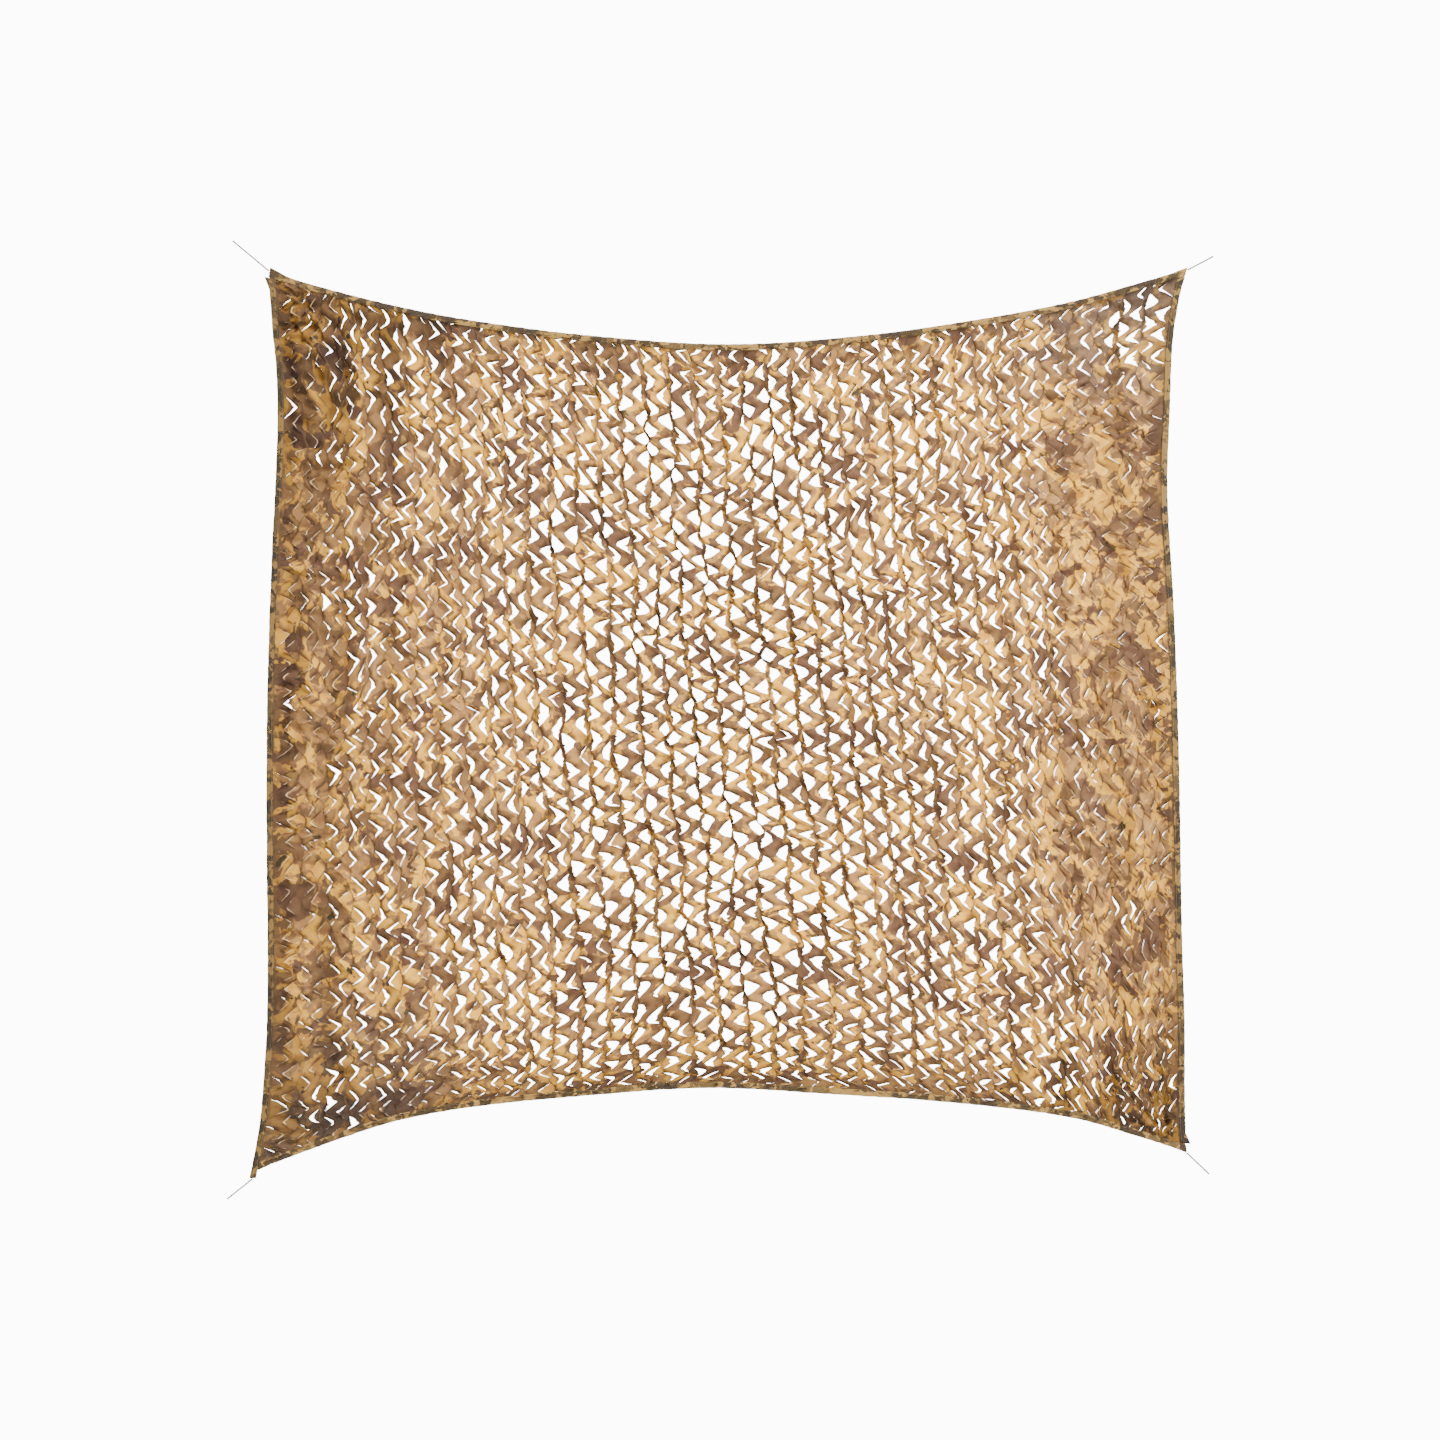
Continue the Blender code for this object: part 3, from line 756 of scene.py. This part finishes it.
# One face of the tape's section: how far in from its fold, and depth as a share of half its thickness.
TAPE_FACE = (
    (0.0006, 0.55), (0.0020, 0.9), (0.0045, 1.0), (0.0090, 1.04), (0.0135, 1.02), (0.0165, 0.86),
    (0.0190, 1.0), (0.0207, 0.95), (0.0210, 0.8), (0.0207, 0.62), (0.0150, 0.56), (0.0016, 0.5),
)
TAPE_SECTION = np.array([(0.0, 0.0), *((inset, -deep) for inset, deep in TAPE_FACE), *TAPE_FACE[::-1]])
STITCH_INSET = 0.0165
EDGE_WAVES = 0.0007
PUCKER = 0.12


def tape_line(edge):
    """Outer and inner points, depths and run along a tape from end to end."""
    _, ends, _, share_to_uv = EDGES[edge]
    rows = []
    for share in np.linspace(FIRST_STATION, 1 - FIRST_STATION, TAPE_STATIONS):
        point, _, inward = edge_frame(edge, share)
        rows.append((*point, *(point + inward * TAPE_WIDTH), billow(*share_to_uv(share))))
    rows = np.array(rows)
    first, last = (np.array((*np.concatenate(tape_end(edge, corner)), 0.0)) for corner in ends)
    steps = np.linspace(0, 1, END_STEPS + 1)[:-1, None]
    rows = np.concatenate([first + (rows[0] - first) * steps, rows, last + (rows[-1] - last) * steps[::-1]])
    outer, inner, depth = rows[:, :2], rows[:, 2:4], rows[:, 4]
    run = np.append(0, np.cumsum(np.linalg.norm(np.diff((outer + inner) / 2, axis=0), axis=1)))
    return outer, inner, depth, run


# How much painted shade darkens each tape, as a share.
TAPE_SIDE_SHADE = {"top": 0.03, "bottom": 0.0, "left": 0.60, "right": 0.42}


def make_binding(edge, number, material):
    """A folded tape, a little puckered along its seam."""
    outer, inner, depth, run = tape_line(edge)
    inset, deep = TAPE_SECTION.T
    across = inset / TAPE_WIDTH
    n, m = len(run), len(across)
    ease = smooth_step(np.minimum(run, run[-1] - run) / 0.05)
    waves = EDGE_WAVES * waver(run, 0 * run, 60 + number, 0.035) * ease
    pucker = waver(run[:, None], across[None, :] * 0.03, 70 + number, 0.016) * PUCKER
    places = outer[:, None] + (inner - outer)[:, None] * across[None, :, None]
    inward = (inner - outer) / TAPE_WIDTH
    places = places + (inward * waves[:, None])[:, None] * (1 - across[None, :, None])
    front = deep[None] * (1 + pucker * (np.abs(deep) > 0.7)[None])
    ys = depth[:, None] + TAPE_HALF_THICKNESS * front
    points = np.stack([places[..., 0], ys, places[..., 1]], -1).reshape(-1, 3)
    uv = np.stack([np.repeat(run, m), np.tile(inset + 0.03 * (deep > 0) + 0.07 * number, n)], -1)
    faces = [tuple(range(m)), tuple((n - 1) * m + i for i in reversed(range(m)))]
    for i in range(0, (n - 1) * m, m):
        for j in range(m):
            k = (j + 1) % m
            faces.append((i + k, i + j, i + m + j, i + m + k))
    if EDGES[edge][2] > 0:
        faces = [f[::-1] for f in faces]
    lip = np.tile(np.clip(np.maximum(1 - across * 9, (across - 0.93) * 12), 0, 1), n)
    # Each tape's painted shade, darkest on the left and then the right.
    side_shade = np.full(n * m, TAPE_SIDE_SHADE[edge])
    return mesh_object(f"tape_{edge}", points, faces, material, uv, {"rim": lip, "side_shade": side_shade})


def seam_points(edge, face):
    """The line of a tape's seam on one face."""
    outer, inner, depth, _ = tape_line(edge)
    line = outer + (inner - outer) * STITCH_INSET / TAPE_WIDTH
    ys = depth + face * TAPE_HALF_THICKNESS * 0.93
    return np.stack([line[:, 0], ys, line[:, 1]], -1)[2:-2]


# ---------------- stitches


def stitch_nodes():
    """A node group that lays thread stitches along a curve."""
    group = bpy.data.node_groups.new("lay_stitches", "GeometryNodeTree")
    face = group.interface
    face.new_socket("Geometry", in_out="INPUT", socket_type="NodeSocketGeometry")
    for name, value in (("Stitch Pitch", 0.006), ("Stitch Length", 0.0044), ("Thread Thickness", 0.0007)):
        face.new_socket(name, in_out="INPUT", socket_type="NodeSocketFloat").default_value = value
    face.new_socket("Thread", in_out="INPUT", socket_type="NodeSocketMaterial")
    face.new_socket("Geometry", in_out="OUTPUT", socket_type="NodeSocketGeometry")
    given = group.nodes.new("NodeGroupInput").outputs

    def then(kind, values=None, **settings):
        return put(group, kind, values, **settings).outputs[0]

    line = {"Curve": given["Geometry"], "Length": given["Stitch Pitch"]}
    line = then("GeometryNodeResampleCurve", line, mode="LENGTH")
    bead = then("GeometryNodeMeshUVSphere", {"Segments": 6, "Rings": 4, "Radius": 0.5})
    thick = given["Thread Thickness"]
    size = then("ShaderNodeCombineXYZ", {"X": thick, "Y": thick, "Z": given["Stitch Length"]})
    stitch = then("GeometryNodeTransform", {"Geometry": bead, "Scale": size})
    turn = then("FunctionNodeAlignRotationToVector", {"Vector": then("GeometryNodeInputTangent")}, axis="Z")
    laid = then("GeometryNodeInstanceOnPoints", {"Points": line, "Instance": stitch, "Rotation": turn})
    real = then("GeometryNodeRealizeInstances", {"Geometry": laid})
    smooth = then("GeometryNodeSetShadeSmooth", {"Geometry": real})
    painted = then("GeometryNodeSetMaterial", {"Geometry": smooth, "Material": given["Thread"]})
    put(group, "NodeGroupOutput", {"Geometry": painted})
    return group


def curve_object(name, lines):
    """Poly lines as one curve, to be stitched along."""
    curve = bpy.data.curves.new(name, "CURVE")
    curve.dimensions = "3D"
    for points in lines:
        spline = curve.splines.new("POLY")
        spline.points.add(len(points) - 1)
        spline.points.foreach_set("co", np.column_stack([points, np.ones(len(points))]).ravel())
    return add_object(name, curve)


def nodes_applied(obj, group, values, name):
    """Runs a node group on obj and keeps the result as a plain mesh object."""
    modifier = obj.modifiers.new(name, "NODES")
    modifier.node_group = group
    for item in group.interface.items_tree:
        if item.item_type == "SOCKET" and item.in_out == "INPUT" and item.name in values:
            modifier[item.identifier] = values[item.name]
    bpy.context.view_layer.update()
    graph = bpy.context.evaluated_depsgraph_get()
    mesh = bpy.data.meshes.new_from_object(obj.evaluated_get(graph))
    mesh.name = name
    obj.modifiers.remove(modifier)
    bpy.data.objects.remove(obj)
    return add_object(name, mesh)


# ---------------- cords

CORD_POINTS = 48
STRANDS = 3
STRAND_SIDES = 8
STRAND_SHARE = 0.33
LAY_LENGTH = 0.019


def cord_path(corner):
    """The line of a cord from its seat to its cut end."""
    facts = CORNERS[corner]
    point, _ = corner_frames(corner)
    start, end = point + facts.cord_seat, point + facts.cord_end
    way = (end - start) / np.linalg.norm(end - start)
    start = start + way * CORD_GAP
    t = np.linspace(0, 1, CORD_POINTS)
    xz = between_places(start[None], end[None], t)
    return np.stack([xz[:, 0], facts.cord_bow * t * t, xz[:, 1]], -1)


def make_cord(corner, material):
    """A laid cord of three strands with a cut, slightly opened end."""
    path = cord_path(corner)
    ahead = path[-1] - path[0]
    length = np.linalg.norm(np.diff(path, axis=0), axis=1).sum()
    ahead /= np.linalg.norm(ahead)
    side = np.cross(ahead, (0, 1, 0))
    side /= np.linalg.norm(side)
    up = np.cross(side, ahead)
    run = np.append(0, np.cumsum(np.linalg.norm(np.diff(path, axis=0), axis=1)))
    strand_radius = CORD_DIAMETER * STRAND_SHARE
    swell = 1 + 0.10 * smooth_step((run - length + 0.006) / 0.006)
    away = ((CORD_DIAMETER / 2 - strand_radius) * swell)[:, None]
    round_strand = 2 * np.pi * np.arange(STRAND_SIDES)[None, :, None] / STRAND_SIDES
    tint_share = smooth_step((run - length + 0.004) / 0.004)
    count, sides = len(run), STRAND_SIDES
    points, uv, rim, faces = [], [], [], []
    for strand in range(STRANDS):
        turn = 2 * np.pi * (run / LAY_LENGTH + strand / STRANDS)
        out = np.cos(turn)[:, None] * side + np.sin(turn)[:, None] * up
        ring = np.cos(round_strand) * out[:, None] + np.sin(round_strand) * np.cross(ahead, out)[:, None]
        rings = (path + away * out)[:, None] + strand_radius * ring
        ends = rings[0].mean(0) - ahead * 0.0004, rings[-1].mean(0) + ahead * 0.0007
        points += [*rings.reshape(-1, 3), *ends]
        uv += [(along + strand * 0.3, j / sides * 0.008) for along in run for j in range(sides)]
        uv += [(0.0, 0.0), (length, 0.0)]
        rim += [*np.repeat(tint_share, sides), 0.0, 1.0]
        start = strand * (count * sides + 2)
        first, last, tail = start + count * sides, start + count * sides + 1, start + (count - 1) * sides
        for j in range(sides):
            k = (j + 1) % sides
            faces += [(first, start + k, start + j), (last, tail + j, tail + k)]
            for a in range(start, tail, sides):
                faces.append((a + j, a + k, a + sides + k, a + sides + j))
    obj = mesh_object(f"tie_{corner}", points, faces, material, uv, {"rim": rim})
    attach(obj, "root")
    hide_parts(f"cord_{corner}")


# ---------------- finishes


def new_group(name, inputs, outputs):
    group = bpy.data.node_groups.new(name, "ShaderNodeTree")
    for label, kind, value in inputs:
        socket = group.interface.new_socket(label, in_out="INPUT", socket_type=f"NodeSocket{kind}")
        if value is not None:
            socket.default_value = value
    for label, kind in outputs:
        group.interface.new_socket(label, in_out="OUTPUT", socket_type=f"NodeSocket{kind}")
    return group, group.nodes.new("NodeGroupInput").outputs


def feed(tree, node, values):
    """Sets or links a node's inputs."""
    for key, value in values.items():
        if isinstance(value, bpy.types.NodeSocket):
            tree.links.new(value, node.inputs[key])
        else:
            node.inputs[key].default_value = value
    return node


def put(tree, kind, values=None, **settings):
    """A new node with its settings and inputs."""
    node = tree.nodes.new(kind)
    for key, value in settings.items():
        setattr(node, key, value)
    return feed(tree, node, values or {})


def math_node(tree, operation, a, b=0.0, clamp=False):
    return put(tree, "ShaderNodeMath", {0: a, 1: b}, operation=operation, use_clamp=clamp).outputs[0]


def mix_colour(tree, factor, a, b, blend="MIX"):
    values = {0: factor, 6: a, 7: b}
    return put(tree, "ShaderNodeMix", values, data_type="RGBA", blend_type=blend).outputs[2]


def mask(tree, value, low, high):
    levels = {"Value": value, "From Min": low, "From Max": high}
    return put(tree, "ShaderNodeMapRange", levels, interpolation_type="SMOOTHSTEP").outputs[0]


def noise(tree, where, scale, detail=2.0, **more):
    values = {"Vector": where, "Scale": scale, "Detail": detail, **more}
    return put(tree, "ShaderNodeTexNoise", values).outputs


def carried(tree, label):
    """What the points of a mesh carry under a label."""
    return put(tree, "ShaderNodeAttribute", attribute_name=label).outputs["Fac"]


def bumped(tree, height, strength, distance, **more):
    values = {"Height": height, "Strength": strength, "Distance": distance, **more}
    return put(tree, "ShaderNodeBump", values).outputs[0]


def flat_place(tree):
    """The place on the cloth, tape or cord laid flat, in metres."""
    return put(tree, "ShaderNodeUVMap", uv_map="UVMap").outputs[0]


def camouflage_group():
    """Leafy printed blotches in four colours over a ground, from a position in metres."""
    colours = ("Ground", "Ochre", "Brown", "Dusk", "Fleck")
    group, given = new_group(
        "camouflage_print",
        [("Vector", "Vector", None), ("Blotches", "Float", 8.0), ("Softness", "Float", 0.012)]
        + [(name, "Color", (0.5, 0.4, 0.3, 1.0)) for name in colours],
        [("Color", "Color")],
    )

    def vector(operation, a, b):
        second = "Scale" if operation == "SCALE" else 1
        return put(group, "ShaderNodeVectorMath", {0: a, second: b}, operation=operation).outputs[0]

    warp = noise(group, given["Vector"], 26.0)["Color"]
    shift = vector("SCALE", vector("SUBTRACT", warp, (0.5, 0.5, 0.5)), 0.028)
    warped = vector("ADD", given["Vector"], shift)
    colour = given["Ground"]
    # Colours from the lowest up: its place in the pattern, its size and how little of it there is
    for name, offset, size, low in (
        ("Ochre", 3.1, 1.0, 0.505), ("Brown", 11.7, 1.2, 0.515), ("Ochre", 31.9, 1.8, 0.565),
        ("Dusk", 23.3, 1.1, 0.57), ("Fleck", 41.9, 2.6, 0.665),
    ):
        moved = vector("ADD", warped, (offset, offset * 0.37, offset * 1.7))
        scale = math_node(group, "MULTIPLY", given["Blotches"], size)
        blotches = noise(group, moved, scale, 3.0, Roughness=0.6, Distortion=0.5)[0]
        high = math_node(group, "ADD", given["Softness"], low)
        colour = mix_colour(group, mask(group, blotches, low, high), colour, given[name])
    put(group, "NodeGroupOutput", {"Color": colour})
    return group


def weave_group():
    """Plain weave: a height and a mask of the threads, from a position in metres."""
    group, given = new_group(
        "plain_weave",
        [("Vector", "Vector", None), ("Threads", "Float", 900.0)],
        [("Height", "Float"), ("Gaps", "Float")],
    )
    waves = []
    for axis in put(group, "ShaderNodeSeparateXYZ", {0: given["Vector"]}).outputs[:2]:
        turned = math_node(group, "MULTIPLY", axis, given["Threads"])
        waves.append(math_node(group, "SINE", math_node(group, "MULTIPLY", turned, 2 * math.pi)))
    height = math_node(group, "MULTIPLY", *waves)
    total = math_node(group, "ADD", *(math_node(group, "ABSOLUTE", wave) for wave in waves))
    put(group, "NodeGroupOutput", {"Height": height, "Gaps": mask(group, total, 0.7, 0.1)})
    return group


def rim_wear_and_shade_group():
    """Mixes a colour unevenly towards a rim colour where the rim value is high: painted shade on the cloth,
    wear on the tape and cord.
    """
    group, given = new_group(
        "wear_and_shade_rims",
        [("Vector", "Vector", None), ("Color", "Color", (1, 1, 1, 1)), ("Rim", "Float", 0.0),
         ("Rim Color", "Color", (0.06, 0.03, 0.012, 1.0)), ("Strength", "Float", 0.8)],
        [("Color", "Color")],
    )
    patches = mask(group, noise(group, given["Vector"], 60.0)[0], 0.2, 0.5)
    uneven = math_node(group, "MULTIPLY", patches, given["Strength"])
    amount = math_node(group, "MULTIPLY", mask(group, given["Rim"], 0.34, 0.80), uneven, clamp=True)
    put(group, "NodeGroupOutput", {"Color": mix_colour(group, amount, given["Color"], given["Rim Color"])})
    return group


def group_node(tree, group, values):
    return put(tree, "ShaderNodeGroup", values, node_tree=group).outputs


def new_material(name, roughness, sheen=0.0, shine=0.25):
    material = bpy.data.materials.new(name)
    material.use_nodes = True
    tree = material.node_tree
    values = {"Roughness": roughness, "Sheen Weight": sheen, "Specular IOR Level": shine}
    return material, tree, feed(tree, tree.nodes["Principled BSDF"], values)


# Colours, linear: the printed inks first, then the tints of painted shade, highlight and sheen, and below
# them the faded tones and the tape, cord and thread colours.
GROUND = (0.385, 0.196, 0.064, 1.0)
OCHRE = (0.80, 0.398, 0.050, 1.0)
BROWN = (0.205, 0.104, 0.040, 1.0)
DUSK = (0.145, 0.071, 0.036, 1.0)
FLECK = (0.065, 0.045, 0.017, 1.0)
RIM_SHADE = (0.072, 0.038, 0.016, 1.0)
EDGE_HIGHLIGHT = (0.84, 0.60, 0.35, 1.0)
SHEEN_GREY = (0.31, 0.26, 0.20, 1.0)
GATHER_SHADE_TINT = (0.235, 0.222, 0.225, 1.0)
SIDE_SHADE_TINT = (0.24, 0.22, 0.205, 1.0)
FADED_TONES = ((0.88, 0.81, 0.86, 1.0), (1.10, 1.15, 0.97, 1.0))
# Places on the flat cloth greyed by painted sheen, and how strongly.
SHEEN_CORNERS = (((2.7, 0.0, 0.0), 0.42), ((0.0, 2.9, 0.0), 0.30))
TAPE_COLOURS = {
    "Ground": (0.125, 0.075, 0.022, 1), "Ochre": (0.315, 0.178, 0.042, 1), "Brown": (0.05, 0.031, 0.010, 1),
    "Dusk": (0.04, 0.025, 0.013, 1), "Fleck": (0.13, 0.078, 0.023, 1),
}
TAPE_RIM = (0.24, 0.16, 0.06, 1)
CORD_COLOURS = ((0.09, 0.056, 0.028, 1), (0.16, 0.105, 0.06, 1))
CORD_RIM = (0.06, 0.03, 0.02, 1)
THREAD_COLOURS = ((0.22, 0.15, 0.06, 1), (0.42, 0.30, 0.14, 1))


def cloth_material(camouflage, weave, rims):
    """Printed, woven cloth: faded in places, greyed by painted sheen at two corners, darkened by painted
    shade where it bunches and along its rims, and lit by painted highlights along the leaves' edges.
    """
    material, tree, shader = new_material("net_cloth", 0.78, 0.03, 0.2)
    where = flat_place(tree)
    inks = {"Ground": GROUND, "Ochre": OCHRE, "Brown": BROWN, "Dusk": DUSK, "Fleck": FLECK}
    printed = group_node(tree, camouflage, {"Vector": where, "Blotches": 8.5, "Softness": 0.025, **inks})
    fade = noise(tree, where, 35.0, 3.0)[0]
    tone = mix_colour(tree, mask(tree, fade, 0.3, 0.7), *FADED_TONES)
    colour = mix_colour(tree, 1.0, printed["Color"], tone, "MULTIPLY")
    # Painted sheen greys the cloth towards these corners.
    for corner, share in SHEEN_CORNERS:
        away = put(tree, "ShaderNodeVectorMath", {0: where, 1: corner}, operation="DISTANCE").outputs
        sheen_grey_share = math_node(tree, "MULTIPLY", mask(tree, away["Value"], 0.75, 0.05), share)
        colour = mix_colour(tree, sheen_grey_share, colour, SHEEN_GREY)
    # Painted shade, strongest where the cloth bunches at its corners and sides.
    colour = mix_colour(tree, carried(tree, "gather_shade"), colour, GATHER_SHADE_TINT, "MULTIPLY")
    # Painted highlight along the leaves' free edges, in patches.
    lip = mask(tree, carried(tree, "lip"), 0.45, 0.9)
    tint_share = math_node(tree, "MULTIPLY", lip, mask(tree, fade, 0.42, 0.58))
    colour = mix_colour(tree, math_node(tree, "MULTIPLY", tint_share, 0.7), colour, EDGE_HIGHLIGHT)
    # Painted shade at the ribbons' lower edges, along the spines and at the leaf roots.
    rim = {"Rim": carried(tree, "rim"), "Rim Color": RIM_SHADE, "Strength": 0.88}
    shaded = group_node(tree, rims, {"Vector": where, "Color": colour, **rim})
    threads = group_node(tree, weave, {"Vector": where, "Threads": 700.0})
    crease = noise(tree, where, 70.0, 4.0, Roughness=0.6)[0]
    rough = put(tree, "ShaderNodeMapRange", {"Value": crease, "To Min": 0.68, "To Max": 0.9})
    bump = bumped(tree, crease, 0.6, 0.005, Normal=bumped(tree, threads["Height"], 0.25, 0.0002))
    feed(tree, shader, {"Base Color": shaded["Color"], "Roughness": rough.outputs[0], "Normal": bump})
    return material


def tape_material(camouflage, weave, rims):
    """The same print, darker and closer, with painted shade in the weave's gaps, worn edges, and painted
    shade on the side tapes.
    """
    material, tree, shader = new_material("binding_tape", 0.75, 0.05)
    where = flat_place(tree)
    inks = {"Blotches": 13.0, "Softness": 0.01, **TAPE_COLOURS}
    printed = group_node(tree, camouflage, {"Vector": where, **inks})
    threads = group_node(tree, weave, {"Vector": where, "Threads": 480.0})
    # Painted shade in the gaps between the threads.
    weave_gap_shade = math_node(tree, "MULTIPLY", threads["Gaps"], 0.35)
    colour = mix_colour(tree, weave_gap_shade, printed["Color"], RIM_SHADE)
    rim = {"Rim": carried(tree, "rim"), "Rim Color": TAPE_RIM, "Strength": 0.6}
    shaded = group_node(tree, rims, {"Vector": where, "Color": colour, **rim})
    # Painted shade, darkest on the left tape and then the right.
    colour = mix_colour(tree, carried(tree, "side_shade"), shaded["Color"], SIDE_SHADE_TINT, "MULTIPLY")
    feed(tree, shader, {"Base Color": colour, "Normal": bumped(tree, threads["Height"], 0.5, 0.0003)})
    return material


def cord_material(rims):
    """Brown yarn whose fibres run aslant along each strand, darker at the cut end."""
    material, tree, shader = new_material("tie_cord", 0.7, 0.1)
    where = flat_place(tree)
    aslant = {"Vector": where, "Rotation": (0, 0, 0.5), "Scale": (300.0, 2600.0, 1.0)}
    yarn = noise(tree, put(tree, "ShaderNodeMapping", aslant).outputs[0], 1.0)[0]
    colour = mix_colour(tree, mask(tree, yarn, 0.3, 0.7), *CORD_COLOURS)
    rim = {"Rim": carried(tree, "rim"), "Rim Color": CORD_RIM, "Strength": 0.9}
    shaded = group_node(tree, rims, {"Vector": where, "Color": colour, **rim})
    feed(tree, shader, {"Base Color": shaded["Color"], "Normal": bumped(tree, yarn, 0.4, 0.0004)})
    return material


def thread_material():
    material, tree, shader = new_material("sewing_thread", 0.6)
    where = put(tree, "ShaderNodeTexCoord").outputs["Object"]
    feed(tree, shader, {"Base Color": mix_colour(tree, noise(tree, where, 900.0)[0], *THREAD_COLOURS)})
    return material


# ---------------- studio

CAMERA_AT = (-0.032, -7.0, -1.203)
SEEN_WIDTH = 4.608
SENSOR_WIDTH = 36.0
AIR_COLOUR, AIR_STRENGTH = (1.0, 0.99, 0.98, 1.0), 0.5
# The sun's size and turn are in degrees.
SUN_STRENGTH, SUN_SIZE, SUN_TURN = 7.3, 18, (40, 0, 24)
# Name, place, turn in degrees, size and power.
SOFT_LIGHTS = (
    ("fill", (2.6, -3.6, -0.6), (86, 0, 32), 2.5, 190.0),
    ("back", (0.0, 5.5, 3.2), (-55, 0, 0), 4.0, 260.0),
)
# What lamps see of the paper, and how bright the camera sees it.
PAPER_COLOUR = (0.9, 0.9, 0.9, 1)
PAPER_GLOW = 12.0
# The floor's height, its sides, how far it lies flat, the round up to its wall and the wall's top.
FLOOR_AT = -3.3
FLOOR_SIDES = 64
FLAT_FLOOR = 9.0
ROUND = 3.0
ROUND_RINGS = 14
WALL_TOP = 14.0


def make_studio():
    """Camera square to the net, soft lights, and a pale floor that curves up all round."""
    scene = bpy.context.scene
    camera = add_object("camera", bpy.data.cameras.new("camera"), CAMERA_AT, (math.pi / 2, 0, 0))
    camera.data.sensor_width = SENSOR_WIDTH
    camera.data.lens = SENSOR_WIDTH * -CAMERA_AT[1] / SEEN_WIDTH
    camera.data.clip_end = 100.0
    scene.camera = camera

    scene.world = bpy.data.worlds.new("studio_air")
    scene.world.use_nodes = True
    air = scene.world.node_tree
    feed(air, air.nodes["Background"], {"Color": AIR_COLOUR, "Strength": AIR_STRENGTH})

    key = bpy.data.lights.new("key", "SUN")
    key.energy, key.angle = SUN_STRENGTH, math.radians(SUN_SIZE)
    add_object("key", key, turn=[math.radians(a) for a in SUN_TURN])
    for name, spot, turn, size, power in SOFT_LIGHTS:
        light = bpy.data.lights.new(name, "AREA")
        light.shape, light.size, light.energy = "SQUARE", size, power
        add_object(name, light, spot, [math.radians(a) for a in turn])

    # A flat floor, a quarter round and a straight wall, turned about the upright axis
    profile = [(FLAT_FLOOR * i / 3, 0.0) for i in range(1, 4)]
    for a in np.linspace(0.15, math.pi / 2, ROUND_RINGS):
        profile.append((FLAT_FLOOR + ROUND * math.sin(a), ROUND - ROUND * math.cos(a)))
    profile.append((FLAT_FLOOR + ROUND, WALL_TOP))
    sides = FLOOR_SIDES
    points, faces = [(0.0, 0.0, FLOOR_AT)], [(0, 1 + i, 1 + (i + 1) % sides) for i in range(sides)]
    for ring, (radius, height) in enumerate(profile):
        for i in range(sides):
            a = 2 * math.pi * i / sides
            points.append((radius * math.cos(a), radius * math.sin(a), FLOOR_AT + height))
            if ring:
                low, high, j = 1 + (ring - 1) * sides, 1 + ring * sides, (i + 1) % sides
                faces.append((low + i, high + i, high + j, low + j))
    material = bpy.data.materials.new("studio_paper")
    material.use_nodes = True
    tree = material.node_tree
    shader = feed(tree, tree.nodes["Principled BSDF"], {"Base Color": PAPER_COLOUR, "Roughness": 1.0})
    glow = put(tree, "ShaderNodeEmission", {"Color": (1.0, 1.0, 1.0, 1.0), "Strength": PAPER_GLOW})
    seen = put(tree, "ShaderNodeLightPath").outputs["Is Camera Ray"]
    lit = put(tree, "ShaderNodeMixShader", {0: seen, 1: shader.outputs[0], 2: glow.outputs[0]})
    clear = put(tree, "ShaderNodeBsdfTransparent").outputs[0]
    behind = put(tree, "ShaderNodeNewGeometry").outputs["Backfacing"]
    both = put(tree, "ShaderNodeMixShader", {0: behind, 1: lit.outputs[0], 2: clear})
    feed(tree, tree.nodes["Material Output"], {"Surface": both.outputs[0]})
    mesh_object("studio_floor", points, faces, material)


# ---------------- putting it together


def main():
    make_studio()
    camouflage, weave, rims = camouflage_group(), weave_group(), rim_wear_and_shade_group()
    cord = cord_material(rims)
    for corner in CORNERS:
        make_cord(corner, cord)

    cloth = cloth_material(camouflage, weave, rims)
    cut = Cut()
    net, *laid_out = make_net(cut, cloth)
    leaves = make_leaves(cut, *laid_out, cloth)
    for piece in (net, leaves):
        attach(piece, "root")
        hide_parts("net")

    tape = tape_material(camouflage, weave, rims)
    for number, edge in enumerate(EDGES):
        piece = make_binding(edge, number, tape)
        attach(piece, "root")
        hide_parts(f"binding_{edge}")

    thread = thread_material()
    group = stitch_nodes()
    lines = [seam_points(edge, face) for edge in EDGES for face in (-1, 1)]
    seams = nodes_applied(curve_object("seam_line", lines), group, {"Thread": thread}, "seam_stitches")
    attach(seams, "root")

    area = flat_area(net)


main()
